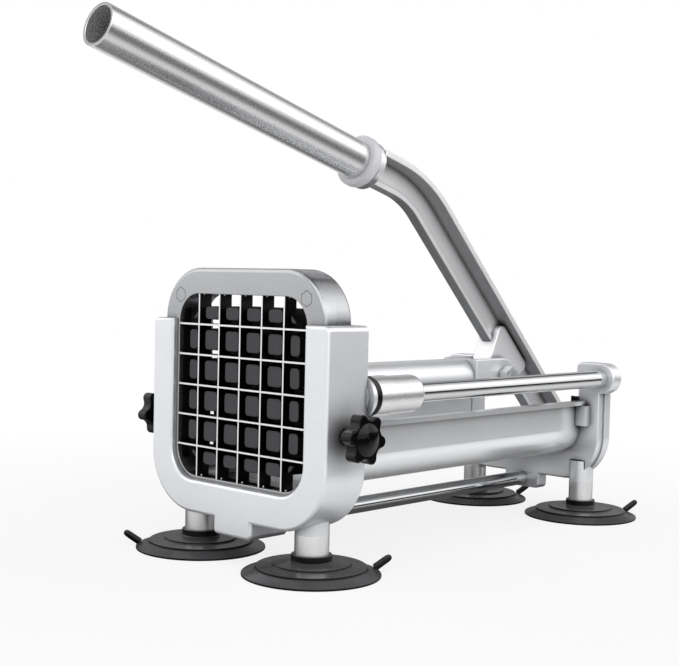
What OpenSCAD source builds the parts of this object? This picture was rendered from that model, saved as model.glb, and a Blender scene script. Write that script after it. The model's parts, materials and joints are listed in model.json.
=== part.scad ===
// French fry cutter with a hinged lever, a guided pusher and a drop-in blade cassette.
// X runs across the machine, Y from the blades to the rear, Z up from the bench.
// All lengths are in millimetres.

/* [Cutting grid] */
// Distance from one blade to the next
cell_pitch = 14; // [12:0.5:15]
// Cells along each side of the square opening
cell_count = 6; // [5:1:7]
// Thickness of a blade strip
blade_t = 0.8; // [0.6:0.1:1.2]
// Depth of a blade strip, front to back
blade_depth = 7; // [6:0.5:9]
// How far the ends of a strip reach into the cassette
blade_tongue = 3.5; // [2.5:0.5:4.5]

/* [Blade cassette] */
// Width of the rim round the opening
cassette_rim = 10.5; // [9:0.5:13]
// Corner radius of the opening
opening_corner_r = 13; // [10:0.5:15]
// Metal in front of the strips' ends
cassette_face_t = 2.5; // [2:0.5:3.5]
// Thickness of the rear half
cassette_rear_t = 10; // [8:0.5:12]
// How much further the rim reaches at the top
cassette_top_extra = 1.4; // [0:0.2:3]
// Diameter of the corner bolts
cassette_bolt_d = 4; // [3:0.5:5]
// Width across the flats of the corner bolts' heads
cassette_hex_af = 6.4; // [5.5:0.1:7]

/* [Front casting] */
// Height of the arms above the centre of the opening
arm_rise = 30.4; // [24:0.2:40]
// Wall outside the cassette
side_wall = 4.6; // [3.5:0.1:7]
// Wall under the cassette
floor_wall = 5.7; // [4.5:0.1:8]
// Lip in front of the cassette
front_lip_t = 3; // [2:0.5:5]
// Lip behind the cassette
rear_lip_t = 4.4; // [3:0.2:7]
// How much of the cassette's rim the lips leave bare
lip_reveal = 1.4; // [0.6:0.2:3]
// Outer radius of the bottom corners
frame_corner_r = 28; // [22:1:32]
// Radius of the arms' top corners
arm_corner_r = 2.5; // [1:0.5:4]
// Half the width of the block under the casting
block_half_w = 12.5; // [9:0.5:16]
// How far the block hangs below the casting
block_drop = 7.4; // [6:0.2:10]

/* [Guide rods and tie rod] */
// Diameter of the two guide rods
rod_d = 9; // [7:0.5:10]
// Distance from the casting's side to a guide rod's axis
rod_inset = 7.4; // [7:0.2:9]
// How far the guide rods lie below the centre of the opening
rod_drop = 0.6; // [0:0.2:3]
// Diameter of the bosses that hold the guide rods
rod_boss_d = 17.6; // [16:0.2:19]
// Length of the bosses behind the front casting
rod_boss_len = 5.8; // [4:0.2:9]
// Clear distance between the two castings
bay_len = 197.6; // [180:0.2:230]
// Diameter of the tie rod under the trough
tie_d = 8; // [6:0.5:9]
// Height of the tie rod's axis above the underside of the block
tie_rise = 5.1; // [4.8:0.1:6]

/* [Rear casting] */
// Thickness of the rear casting
rear_t = 11.8; // [10:0.2:16]
// Width of an arm of the rear casting
rear_arm_w = 13.4; // [11:0.2:17]
// Outer radius of the rear casting's bottom corners
rear_corner_r = 24; // [18:1:26]
// Radius of the round end of an ear
ear_r = 8.3; // [8:0.1:11]
// Thickness of the ears and of the block for the tie rod
ear_t = 8.6; // [8:0.2:11]
// Width of the raised band along the casting's edge
band_w = 2.6; // [1.5:0.1:4]
// How far the raised band stands out
band_t = 0.9; // [0.5:0.1:1.5]
// Distance from the casting's rear face to the lever's pivot
pivot_back = 24; // [20:1:30]
// How far the lever's pivot lies below the centre of the opening
pivot_drop = 42.4; // [38:0.2:46]
// Diameter of the pivot bolt
pivot_d = 8; // [6:0.5:10]
// Radius of the knuckle round the pivot
knuckle_r = 9; // [8:0.5:11]

/* [Trough] */
// Sheet thickness of the trough
trough_t = 0.8; // [0.6:0.1:1.5]
// Clearance between the pusher and the trough's wall
trough_gap = 0.6; // [0.4:0.1:2]
// How far the trough's rim lies below the centre of the opening
rim_drop = 13.4; // [12.5:0.1:18]
// Width of the turned-out rim
rim_w = 4.4; // [3:0.1:5]
// Height of the rolled edge of the rim
rim_h = 2.2; // [1.6:0.1:3]
// How far the rim stops before the end of the sheet
rim_short = 1.4; // [0:0.2:3]
// Inner radius of the trough's bottom corners
trough_corner_r = 13.2; // [10:0.2:16]

/* [Pusher] */
// Gap between the outer row of fingers and the edge of the opening
finger_edge_gap = 5.6; // [5:0.1:6.5]
// Gap between a finger and a blade
finger_gap = 2.35; // [1.6:0.05:3]
// Corner radius of a finger
finger_corner_r = 1.8; // [0.6:0.1:2.5]
// How far the fingers stop behind the blades' front edges
finger_setback = 1.6; // [0.5:0.1:3]
// Length of the fingers
finger_len = 21; // [20:0.5:26]
// Thickness of the plate that carries the fingers
finger_plate_t = 4; // [3:0.5:6]
// Thickness of the crosshead's plate
crosshead_t = 5; // [4:0.5:7]
// Outer diameter of a slide sleeve
sleeve_d = 17; // [15:0.5:18.5]
// Length of a slide sleeve
sleeve_len = 30.2; // [24:0.2:40]
// Outer diameter of a bush inside a sleeve
bush_d = 12.6; // [11.6:0.2:13.5]
// Thickness of a rubber bumper ring
bumper_t = 2.4; // [2:0.2:4]
// Diameter of the crosshead's cross pin
hook_pin_d = 8; // [6:0.5:9]
// Distance from the crosshead's plate to the cross pin
hook_pin_back = 18; // [18:0.5:22]

/* [Link] */
// Distance between the link's two pivots
link_len = 134.4; // [126:0.2:140]
// Diameter of the link bar
link_d = 20; // [17:0.5:21]
// Diameter of the bolt through the link's fork
link_bolt_d = 6; // [5:0.5:8]
// Thickness of a cheek of the fork
cheek_t = 5; // [4:0.5:6]
// Thickness of the hook at the link's front end
hook_t = 12; // [10:0.5:14]

/* [Lever] */
// Slope of the lower arm above the horizontal, in degrees
lever_slope_deg = 44.5; // [40:0.5:50]
// Slope of the handle above the horizontal, in degrees
handle_slope_deg = 14.8; // [10:0.2:20]
// Length of the lower arm from the pivot to the bend
lower_arm_len = 199; // [180:1:220]
// Length from the bend to the flange
upper_arm_len = 33.3; // [31:0.1:40]
// Depth of the lever's section
lever_depth = 16; // [14:0.5:18]
// Width of the lever's rear flange
lever_flange_w = 23; // [20:0.5:24]
// Thickness of the lever's rear flange
lever_flange_t = 3.4; // [2.6:0.2:5]
// Width of the lever's front rim
lever_rim_w = 6.4; // [5.5:0.2:8]
// Thickness of the lever's front rim
lever_rim_t = 3; // [2:0.2:4]
// Thickness of the lever's web
lever_web_t = 4.6; // [3.5:0.1:5.4]
// Width of the lug and the knuckle
lug_w = 12.4; // [11:0.2:13]
// How far the handle's axis lies above the middle of the lever's section
handle_shift = 0.4; // [0:0.1:1.5]
// Diameter of the flange that the handle is tightened against
flange_d = 24; // [22.5:0.5:26]
// Thickness of that flange
flange_t = 3.2; // [3:0.1:8]
// Length of the threaded stub
stub_len = 20; // [15:1:26]

/* [Handle] */
// Outer diameter of the handle tube
tube_d = 18.8; // [17:0.2:21]
// Wall of the handle tube
tube_wall = 1.4; // [1.2:0.1:2.4]
// How much thicker the wall is along the handle's thread
tube_thread_t = 0.4; // [0.3:0.1:1]
// Length of the handle tube
tube_len = 156.3; // [140:0.1:190]
// Thickness of the collar ring between the tube and the flange
collar_t = 5.2; // [3:0.2:7]
// Outer diameter of the collar ring
collar_d = 25.6; // [24:0.2:28]

/* [Knobs] */
// Radius over the lobes of a knob
knob_r = 11.1; // [9:0.1:14]
// Lobes on a knob
knob_lobes = 6; // [5:1:8]
// Thickness of a knob
knob_t = 5.6; // [4.5:0.1:8]
// Height of the dome on a knob
knob_dome_h = 1.2; // [1:0.1:3]
// Distance from the casting's side to the back of a knob
knob_standoff = 7.2; // [5:0.2:9]
// How far the knobs lie below the centre of the opening
knob_drop = 16; // [14:0.5:20]
// Diameter of the threaded studs
stud_d = 6; // [5:0.5:8]

/* [Feet] */
// Distance from the middle to a foot's axis
foot_x = 36.8; // [34:0.2:38]
// Distance from the blades' front edges to the front feet
front_foot_y = 11; // [9.4:0.2:12]
// Distance from the rear casting's front face to the rear feet
rear_foot_back = 4.6; // [4:0.2:6]
// Radius of a suction cup
cup_r = 30.5; // [26:0.5:33]
// Bare length of a front foot's post above the cup's collar
post_rise = 8.7; // [4:0.1:20]
// Diameter of a front foot's post
front_post_d = 15.2; // [13:0.2:16]
// Diameter of a rear foot's post
rear_post_d = 13; // [12:0.2:14]
// Height of a suction cup's collar above the bench
cup_collar_h = 9.2; // [8.6:0.2:13]
// Wall of a suction cup's collar
cup_collar_wall = 1.4; // [1:0.1:2]
// Diameter of the foot screws
foot_screw_d = 5; // [4:0.5:6]
// Length of a pull tab
tab_len = 9; // [7:0.5:12]
// Diameter of a pull tab
tab_d = 3.4; // [2.6:0.2:4]

/* [Hidden] */

$fn = 64;

// Clearances and cuts
cut = 1;
fit = 0.3;
running = 0.05;
seat = 0.02;

// Opening and cassette
open_half = cell_pitch * cell_count / 2;
cassette_half = open_half + cassette_rim;
cassette_outer_r = opening_corner_r + cassette_rim;
slot_corner_r = cassette_outer_r + fit;
cassette_back_y = blade_depth + cassette_rear_t;
bolt_reach_share = 0.985;
bolt_place = open_half * bolt_reach_share;
hex_head_t = 3;
hex_nut_t = 3.2;
pocket_side = blade_tongue + fit;

// Front casting
slot_half = cassette_half + fit;
foot_boss_t = 1.6;
opening_h = cup_collar_h + post_rise + foot_boss_t + floor_wall + slot_half;
frame_half = slot_half + side_wall;
frame_front_y = -front_lip_t;
slot_back_y = cassette_back_y + fit;
frame_back_y = slot_back_y + rear_lip_t;
frame_depth = frame_back_y - frame_front_y;
lip_half = open_half + lip_reveal;
lip_corner_r = opening_corner_r + lip_reveal;
frame_low_z = opening_h - slot_half - floor_wall;
frame_high_z = opening_h + arm_rise;
block_low_z = frame_low_z - block_drop;
block_corner_r = 2.5;
block_top_r = 0.4;
boss_flare = 2.6;
boss_flare_len = 2.4;
knob_shift = 0.4;
knob_y = cassette_back_y / 2 + knob_shift;
knob_z = opening_h - knob_drop;
knob_hub_r = 4.2;
knob_turn = 20.6;
knob_crease = 0.05;
lobe_share = 0.22;
valley_share = 0.74;
dome_share = 0.6;
knob_hub_len = knob_standoff - fit;

// Rods
rod_x = frame_half - rod_inset;
rod_z = opening_h - rod_drop;
rod_front_y = frame_back_y - rear_lip_t + cut;
boss_back_y = frame_back_y + rod_boss_len;
rear_y = frame_back_y + bay_len;
rear_back_y = rear_y + rear_t;
ear_seat = 6;
rod_back_y = rear_y + ear_seat;
tie_z = block_low_z + tie_rise;
tie_seat = 9;
end_screw_d = 5;
end_screw_head_d = 8.5;
end_screw_head_t = 4.5;
end_screw_bite = 14;
end_screw_hex_af = 4;

// Trough
pusher_half = open_half - finger_edge_gap;
trough_in = pusher_half + trough_gap;
trough_out = trough_in + trough_t;
trough_low_z = opening_h - lip_half + fit;
trough_rim_z = opening_h - rim_drop;
trough_front_y = cassette_back_y + fit + cut;
trough_back_y = rear_y - fit;
rim_front_y = frame_back_y + fit + cut;
rim_back_y = trough_back_y - rim_short;
lug_len = 5;
lug_h = 11;
lug_side = 6.2;
pad_t = 1.4;

// Rear casting
rear_raise = 1.08;
ear_overhang = 1.4;
rear_in = trough_out - 2 * trough_t;
rear_half = rear_in + rear_arm_w;
rear_low_z = frame_low_z + rear_raise;
rear_in_low_z = trough_low_z + trough_t;
ear_in_x = rear_in - ear_overhang;
ear_corner_r = 3;
ear_back_y = rear_y + ear_t;
arm_top_z = rod_z - ear_r / 2;
band_y = rear_y + (rear_t - band_w) / 2;
pivot_y = rear_back_y + pivot_back;
pivot_z = opening_h - pivot_drop;
ear_gap = 0.2;
pivot_ear_in = lug_w / 2 + ear_gap;
pivot_ear_t = 5.2;
pivot_ear_out = pivot_ear_in + pivot_ear_t;
rear_block_half = block_half_w - 1;
rear_block_low_z = block_low_z;

// Pusher stack, from the fingers' faces to the rear
pusher_corner_r = trough_corner_r;
finger_face_y = finger_setback;
plate_y = finger_face_y + finger_len;
crosshead_y = plate_y + finger_plate_t;
crosshead_back_y = crosshead_y + crosshead_t;
bumper_y = boss_back_y + fit;
sleeve_y = bumper_y + bumper_t;
sleeve_back_y = sleeve_y + sleeve_len;
sleeve_step = 10;
sleeve_step_t = 0.35;
sleeve_round_r = 2.5;
arm_h = 13;
hook_pin_y = crosshead_back_y + hook_pin_back;
hook_eye_r = 8.2;
mouth_lean_deg = 36;
mouth_back_lean_deg = 8;
hook_gap = 0.5;
clevis_in = hook_t / 2 + hook_gap;
clevis_t = 4.5;
clevis_out = clevis_in + clevis_t;
clevis_r = 9;
clip_t = 1.2;
clip_rim = 2;
finger_screw_d = 4;
finger_head_d = 7.2;
finger_head_t = 2.4;
finger_screw_place_share = 0.62;
corner_steps = 3;
corner_step_deg = 90 / corner_steps;

// Link
link_y = hook_pin_y + link_len;
link_pin = [link_y, rod_z];
fork_r = link_d / 2;
fork_in = lug_w / 2 + ear_gap;
fork_out = fork_in + cheek_t;
fork_gap_len = 25;
fork_flat_len = 6;
hook_neck_len = 16;

// Lever, in the plane X = 0, as [Y, Z] pairs
pivot = [pivot_y, pivot_z];
lower_dir = [-cos(lever_slope_deg), sin(lever_slope_deg)];
lower_side = [sin(lever_slope_deg), cos(lever_slope_deg)];
upper_dir = [-cos(handle_slope_deg), sin(handle_slope_deg)];
upper_side = [sin(handle_slope_deg), cos(handle_slope_deg)];
bend = pivot + lower_arm_len * lower_dir;
flange_at = bend + upper_arm_len * upper_dir;
lever_half = lever_depth / 2;
bend_turn_deg = lever_slope_deg - handle_slope_deg;
bend_front_r = 41;
bend_rear_r = 84;
bend_steps = 14;
rear_flange_start = 17;
web_start = 4;
lug_r = 9.4;
lug_root = 26;
handle_from = flange_at + handle_shift * upper_side;
collar_at = handle_from + flange_t * upper_dir;
tube_at = collar_at + collar_t * upper_dir;
tube_end = tube_at + tube_len * upper_dir;
link_foot = pivot + ((link_pin - pivot) * lower_dir) * lower_dir;
pivot_bush_wall = 1.5;
pivot_bush_r = pivot_d / 2 + pivot_bush_wall;
bolt_head_t = 4.5;
pivot_hex_af = 13;
link_hex_af = 10;
bolt_tail = 5.5;
washer_t = 1.2;
washer_d = 15;
pivot_half = pivot_ear_out + washer_t;
tube_r = tube_d / 2;
tube_bore_r = tube_r - tube_wall;
thread_pitch = 2;
thread_bore_r = tube_bore_r - tube_thread_t;
thread_zone = stub_len + thread_pitch;
stub_r = thread_bore_r - running;
thread_depth = 0.6;
thread_turns = floor((stub_len - thread_pitch) / thread_pitch);

// Feet
rear_foot_y = rear_y + rear_foot_back;
// Places of the four feet: front left, front right, rear left, rear right
foot_places = [[-foot_x, front_foot_y], [foot_x, front_foot_y], [-foot_x, rear_foot_y], [foot_x, rear_foot_y]];
front_post_top = frame_low_z - foot_boss_t;
rear_post_top = rear_low_z - foot_boss_t;
cup_floor_z = 5.4;
cup_lip_t = 0.9;
cup_lip_w = 1.6;
cup_hollow_h = 2;
cup_step_shares = [0.8, 0.56];
cup_step_h = 0.7;
foot_screw_head_r = 4.5;
foot_screw_head_t = 1.6;
foot_screw_bite = 4;
tab_rise_deg = 33;
tab_turns_deg = [223, 60, 63, 63];

// The origin lies under the middle of the whole machine
front_reach = tube_end.x - tube_r * upper_side.x;
rear_reach = pivot_y + knuckle_r;
origin_y = (front_reach + rear_reach) / 2;

// Colours
cast_grey = [0.74, 0.75, 0.77];
steel_grey = [0.83, 0.84, 0.86];
chrome_grey = [0.88, 0.89, 0.91];
black_plastic = [0.08, 0.08, 0.09];
black_rubber = [0.05, 0.05, 0.05];
brass_tone = [0.8, 0.65, 0.35];
pale_nylon = [0.85, 0.84, 0.88];

// Moves a piece from the blade plane's frame to the frame of the whole machine
module placed() {
    translate([0, -origin_y, 0]) children();
}

// Extrudes an X-Z outline from depth y0 to depth y1
module deep(y0, y1) {
    translate([0, y1, 0]) rotate([90, 0, 0]) linear_extrude(y1 - y0) children();
}

// Extrudes a Y-Z outline across the machine, from x0 to x1
module across(x0, x1) {
    translate([x0, 0, 0]) rotate([90, 0, 90]) linear_extrude(x1 - x0) children();
}

// Round bar along Y
module bar_y(r, y0, y1, x, z) {
    translate([x, y0, z]) rotate([-90, 0, 0]) cylinder(r = r, h = y1 - y0);
}

// Round bar along X
module bar_x(r, x0, x1, y, z) {
    translate([x0, y, z]) rotate([0, 90, 0]) cylinder(r = r, h = x1 - x0);
}

// Hexagonal bar along Y, by its width across the flats
module hex_y(af, y0, y1, x, z) {
    translate([x, y0, z]) rotate([-90, 30, 0]) cylinder(r = af / 2 / cos(30), h = y1 - y0, $fn = 6);
}

// Hexagonal bar along X
module hex_x(af, x0, x1, y, z) {
    translate([x0, y, z]) rotate([0, 90, 0]) cylinder(r = af / 2 / cos(30), h = x1 - x0, $fn = 6);
}

// Copies a piece to the other side of the machine
module both_sides() {
    children();
    mirror([1, 0, 0]) children();
}

// Outline between two heights, with round bottom corners and round top corners
module well(half, low, high, low_r, high_r) {
    translate([-half, low + low_r]) square([2 * half, high - low - low_r - high_r]);
    translate([-half + low_r, low]) square([2 * (half - low_r), low_r + cut]);
    translate([-half + high_r, low + low_r]) square([2 * (half - high_r), high - low - low_r]);
    for (s = [-1, 1]) {
        translate([s * (half - low_r), low + low_r]) circle(low_r);
        translate([s * (half - high_r), high - high_r]) circle(high_r);
    }
}

// Outline between two heights with square top corners
module open_well(half, low, high, low_r) {
    translate([-half, low + low_r]) square([2 * half, high - low - low_r]);
    translate([-half + low_r, low]) square([2 * (half - low_r), low_r + cut]);
    for (s = [-1, 1]) translate([s * (half - low_r), low + low_r]) circle(low_r);
}

// Rectangle with round corners, centred
module round_rect(w, h, r) {
    square([w - 2 * r, h], center = true);
    square([w, h - 2 * r], center = true);
    for (i = [-1, 1], j = [-1, 1]) translate([i * (w / 2 - r), j * (h / 2 - r)]) circle(r);
}

// Places of the cassette's corner bolts
module at_bolts() {
    for (i = [-1, 1], j = [-1, 1]) translate([i * bolt_place, 0, opening_h + j * bolt_place]) children();
}

// Front casting: a U that holds the cassette, with bosses for rods, feet and knobs
module front_frame() {
    color(cast_grey) placed() difference() {
        union() {
            deep(frame_front_y, frame_back_y)
                well(frame_half, frame_low_z, frame_high_z, frame_corner_r, arm_corner_r);
            both_sides() {
                bar_y(rod_boss_d / 2, frame_back_y - cut, boss_back_y, rod_x, rod_z);
                translate([rod_x, frame_back_y, rod_z]) rotate([-90, 0, 0])
                    cylinder(r1 = rod_boss_d / 2 + boss_flare, r2 = rod_boss_d / 2, h = boss_flare_len);
                translate([foot_x, front_foot_y, front_post_top])
                    cylinder(d = front_post_d, h = frame_corner_r / 2);
            }
            deep(frame_front_y, frame_back_y - block_corner_r)
                well(block_half_w, block_low_z, frame_low_z + cut, block_corner_r, block_top_r);
        }
        deep(frame_front_y - cut, cut) opening_outline(lip_half, lip_corner_r);
        deep(0, slot_back_y) open_well(slot_half, opening_h - slot_half, frame_high_z + cut, slot_corner_r);
        deep(slot_back_y - cut, frame_back_y + cut) opening_outline(lip_half, lip_corner_r);
        both_sides() {
            bar_y(rod_d / 2 + seat, rod_front_y, boss_back_y + cut, rod_x, rod_z);
            bar_x(stud_d / 2 + running, slot_half - cut, frame_half + cut, knob_y, knob_z);
            translate([foot_x, front_foot_y, front_post_top - cut])
                cylinder(d = foot_screw_d + 2 * seat, h = foot_screw_bite + foot_boss_t + cut);
        }
        bar_y(tie_d / 2 + seat, frame_back_y - block_corner_r - tie_seat, frame_back_y, 0, tie_z);
    }
}
// The square opening with its round bottom corners, open at the top
module opening_outline(half, r) {
    open_well(half, opening_h - half, frame_high_z + cut, r);
}

// Half of the cassette: a square ring with round corners
module cassette_ring(y0, y1) {
    deep(y0, y1) translate([0, opening_h]) difference() {
        well(cassette_half, -cassette_half, cassette_half + cassette_top_extra, cassette_outer_r, cassette_outer_r);
        round_rect(2 * open_half, 2 * open_half, opening_corner_r);
    }
}

module cassette_front() {
    pocket_half = open_half + pocket_side;
    pocket_reach = open_half - cell_pitch / 2;
    color(cast_grey) placed() difference() {
        cassette_ring(0, blade_depth);
        for (turn = [0, 90]) translate([0, 0, opening_h]) rotate([0, turn, 0])
            translate([-pocket_reach, cassette_face_t, -pocket_half])
                cube([2 * pocket_reach, blade_depth, 2 * pocket_half]);
        at_bolts() {
            bar_y(cassette_bolt_d / 2 + running, -cut, blade_depth + cut, 0, 0);
            hex_y(cassette_hex_af + 2 * running, -cut, hex_head_t, 0, 0);
        }
    }
}

module cassette_rear() {
    color(cast_grey) placed() difference() {
        cassette_ring(blade_depth, cassette_back_y);
        at_bolts() {
            bar_y(cassette_bolt_d / 2 + running, blade_depth - cut, cassette_back_y + cut, 0, 0);
            hex_y(cassette_hex_af + 2 * running, cassette_back_y - hex_nut_t, cassette_back_y + cut, 0, 0);
        }
    }
}

module cassette_bolts() {
    color(steel_grey) placed() at_bolts() {
        hex_y(cassette_hex_af, 0, hex_head_t, 0, 0);
        bar_y(cassette_bolt_d / 2, hex_head_t - cut, cassette_back_y, 0, 0);
    }
}

module cassette_nuts() {
    color(steel_grey) placed() at_bolts() difference() {
        hex_y(cassette_hex_af, cassette_back_y - hex_nut_t, cassette_back_y, 0, 0);
        bar_y(cassette_bolt_d / 2 + seat, cassette_back_y - hex_nut_t - cut, cassette_back_y + cut, 0, 0);
    }
}

// One strip standing upright at X = 0, with its tongues and the half-depth slots of the lattice
module blade_strip(slot_y0) {
    slot_w = blade_t + 2 * running;
    tongue_len = 2 * (open_half + blade_tongue);
    difference() {
        union() {
            translate([-blade_t / 2, 0, opening_h - open_half])
                cube([blade_t, cassette_face_t + cut, 2 * open_half]);
            translate([-blade_t / 2, cassette_face_t, opening_h - tongue_len / 2])
                cube([blade_t, blade_depth - cassette_face_t, tongue_len]);
        }
        for (i = [1:cell_count - 1])
            translate([-cut, slot_y0, opening_h - open_half + i * cell_pitch - slot_w / 2])
                cube([2 * cut, blade_depth / 2 + cut, slot_w]);
    }
}

module blades_vertical() {
    color(steel_grey) placed() for (i = [1:cell_count - 1])
        translate([-open_half + i * cell_pitch, 0, 0]) blade_strip(blade_depth / 2);
}

module blades_horizontal() {
    color(steel_grey) placed() for (i = [1:cell_count - 1])
        translate([0, 0, opening_h - open_half + i * cell_pitch]) rotate([0, 90, 0])
            translate([0, 0, -opening_h]) blade_strip(-cut);
}

// Guide rod from the front casting's boss to the rear casting's ear
module guide_rod(side) {
    color(chrome_grey) placed() difference() {
        bar_y(rod_d / 2, rod_front_y, rod_back_y, side * rod_x, rod_z);
        bar_y(end_screw_d / 2 + seat, rod_back_y - end_screw_bite, rod_back_y + cut, side * rod_x, rod_z);
    }
}

module guide_rod_left() {
    guide_rod(-1);
}

module guide_rod_right() {
    guide_rod(1);
}

module tie_rod() {
    tie_y0 = frame_back_y - block_corner_r - tie_seat;
    tie_y1 = rear_y + ear_seat;
    color(chrome_grey) placed() difference() {
        bar_y(tie_d / 2, tie_y0, tie_y1, 0, tie_z);
        bar_y(end_screw_d / 2 + seat, tie_y1 - end_screw_bite, tie_y1 + cut, 0, tie_z);
    }
}

// Socket-head screw that enters an ear or the block from behind
module end_screw(x, z) {
    difference() {
        union() {
            bar_y(end_screw_head_d / 2, ear_back_y, ear_back_y + end_screw_head_t, x, z);
            bar_y(end_screw_d / 2, rod_back_y - end_screw_bite + cut, ear_back_y + cut, x, z);
        }
        hex_y(end_screw_hex_af, ear_back_y + end_screw_head_t / 2, ear_back_y + end_screw_head_t + cut, x, z);
    }
}

module rod_screws() {
    color(steel_grey) placed() {
        both_sides() end_screw(rod_x, rod_z);
        end_screw(0, tie_z);
    }
}

// Side view of one of the two rear ears that hold the pivot bolt
module pivot_ear() {
    difference() {
        across(pivot_ear_in, pivot_ear_out) hull() {
            translate(pivot) circle(knuckle_r, $fn = 48);
            translate([rear_back_y - cut, rear_low_z]) square([cut, rear_in_low_z - rear_low_z]);
        }
        bar_x(pivot_d / 2 + seat, 0, pivot_ear_out + cut, pivot.x, pivot.y);
    }
}

// Outline of the rear casting's U, up to the ears
module rear_outline(grow) {
    open_well(rear_half + grow, rear_low_z - grow, arm_top_z, rear_corner_r + grow);
}

// Outline of the two D-shaped ears that hold the guide rods
module ear_outline() {
    for (s = [-1, 1]) translate([s * rod_x, rod_z]) {
        circle(ear_r);
        translate([-s * (rod_x - ear_in_x - ear_corner_r) / 2, 0])
            square([rod_x - ear_in_x - ear_corner_r, 2 * ear_r], center = true);
        translate([-s * (rod_x - ear_in_x) / 2, 0])
            square([rod_x - ear_in_x, 2 * (ear_r - ear_corner_r)], center = true);
        for (t = [-1, 1]) translate([-s * (rod_x - ear_in_x - ear_corner_r), t * (ear_r - ear_corner_r)])
            circle(ear_corner_r);
    }
}

// Rear casting: a U with two ears for the guide rods and two ears for the lever's pivot
module rear_frame() {
    color(cast_grey) placed() union() {
        difference() {
            union() {
                deep(rear_y, rear_back_y) rear_outline(0);
                deep(band_y, band_y + band_w) rear_outline(band_t);
                deep(rear_y, ear_back_y) ear_outline();
                deep(rear_y, ear_back_y)
                    well(rear_block_half, rear_block_low_z, rear_low_z + cut, block_corner_r, block_top_r);
                both_sides() translate([foot_x, rear_foot_y, rear_post_top])
                    cylinder(d = rear_post_d, h = rear_corner_r / 2);
            }
            deep(rear_y - cut, rear_back_y + cut)
                open_well(rear_in, rear_in_low_z, arm_top_z + cut, trough_corner_r);
            both_sides() {
                bar_y(rod_d / 2 + seat, rear_y - cut, rod_back_y, rod_x, rod_z);
                bar_y(end_screw_d / 2 + seat, rod_back_y - cut, ear_back_y + cut, rod_x, rod_z);
                bar_y(end_screw_head_d / 2 + fit, ear_back_y, rear_back_y + cut, rod_x, rod_z);
                translate([foot_x, rear_foot_y, rear_post_top - cut])
                    cylinder(d = foot_screw_d + 2 * seat, h = foot_screw_bite + foot_boss_t + cut);
            }
            bar_y(tie_d / 2 + seat, rear_y - cut, rod_back_y, 0, tie_z);
            bar_y(end_screw_d / 2 + seat, rod_back_y - cut, ear_back_y + cut, 0, tie_z);
            bar_y(end_screw_head_d / 2 + fit, ear_back_y, rear_back_y + cut, 0, tie_z);
        }
        both_sides() {
            pivot_ear();
            translate([trough_out + fit, rear_y - lug_len, trough_rim_z - rim_h - fit - lug_h])
                cube([lug_side, lug_len + cut, lug_h]);
        }
    }
}

// Cross-section of the trough's sheet
module trough_section() {
    difference() {
        open_well(trough_out, trough_low_z, trough_rim_z, trough_corner_r + trough_t);
        open_well(trough_in, trough_low_z + trough_t, trough_rim_z + cut, trough_corner_r);
    }
}

// Steel trough with turned-out rims that hang on the rear casting's lugs
module trough() {
    color(steel_grey) placed() {
        deep(trough_front_y, trough_back_y) trough_section();
        both_sides() translate([trough_out - trough_t / 2, rim_front_y, trough_rim_z - rim_h])
            cube([rim_w + trough_t / 2, rim_back_y - rim_front_y, rim_h]);
    }
}

// Rubber pads between the trough's rim and the ends of the bay
module trough_pads() {
    color(black_rubber) placed() both_sides()
        translate([trough_in - rim_w, rear_y - pad_t, trough_rim_z - rim_h])
            cube([rim_w - fit, pad_t, rim_w]);
}

module foot_post(d, top) {
    difference() {
        translate([0, 0, cup_floor_z]) cylinder(d = d, h = top - cup_floor_z);
        translate([0, 0, cup_floor_z - cut]) cylinder(d = foot_screw_d + 2 * seat, h = top);
    }
}

module front_posts() {
    color(cast_grey) placed() for (i = [0, 1]) translate(foot_places[i]) foot_post(front_post_d, front_post_top);
}

module rear_posts() {
    color(cast_grey) placed() for (i = [2, 3]) translate(foot_places[i]) foot_post(rear_post_d, rear_post_top);
}

// Suction cup: stepped discs round a collar that grips the post, with a round pull tab
module suction_cup(i) {
    post_d = i < 2 ? front_post_d : rear_post_d;
    collar_r = post_d / 2 + cup_collar_wall;
    step_r = [for (share = cup_step_shares) share * cup_r];
    shoulder = cup_floor_z - cup_step_h;
    hollow_r = foot_screw_head_r + fit;
    color(black_rubber) placed() translate(foot_places[i]) {
        rotate_extrude() polygon([
            [foot_screw_d / 2 + seat, cup_hollow_h], [hollow_r, cup_hollow_h], [cup_r - 2 * cup_lip_w, cup_lip_t],
            [cup_r - cup_lip_w, 0], [cup_r, 0], [cup_r, cup_lip_t], [step_r[0], shoulder - 2 * cup_step_h],
            [step_r[0], shoulder - cup_step_h], [step_r[1], shoulder],
            [step_r[1], shoulder + cup_step_h], [collar_r, shoulder + 2 * cup_step_h],
            [collar_r, cup_collar_h], [post_d / 2 + seat, cup_collar_h], [post_d / 2 + seat, cup_floor_z],
            [foot_screw_d / 2 + seat, cup_floor_z]
        ]);
        rotate([0, 0, tab_turns_deg[i]]) translate([cup_r - cup_lip_w, 0, tab_d / 2])
            rotate([0, 90 - tab_rise_deg, 0]) {
                cylinder(d = tab_d, h = tab_len - tab_d / 2);
                translate([0, 0, tab_len - tab_d / 2]) sphere(d = tab_d);
            }
    }
}

module suction_cup_front_left() {
    suction_cup(0);
}

module suction_cup_front_right() {
    suction_cup(1);
}

module suction_cup_rear_left() {
    suction_cup(2);
}

module suction_cup_rear_right() {
    suction_cup(3);
}

// Screws that go up through the cups and the posts into the castings
module foot_screws() {
    color(steel_grey) placed() for (i = [0:3]) translate(foot_places[i]) {
        top = i < 2 ? front_post_top : rear_post_top;
        translate([0, 0, cup_hollow_h - foot_screw_head_t / 2])
            cylinder(r = foot_screw_head_r, h = foot_screw_head_t / 2);
        translate([0, 0, cup_hollow_h - cut / 2])
            cylinder(d = foot_screw_d, h = top + foot_screw_bite - cup_hollow_h);
    }
}

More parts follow.
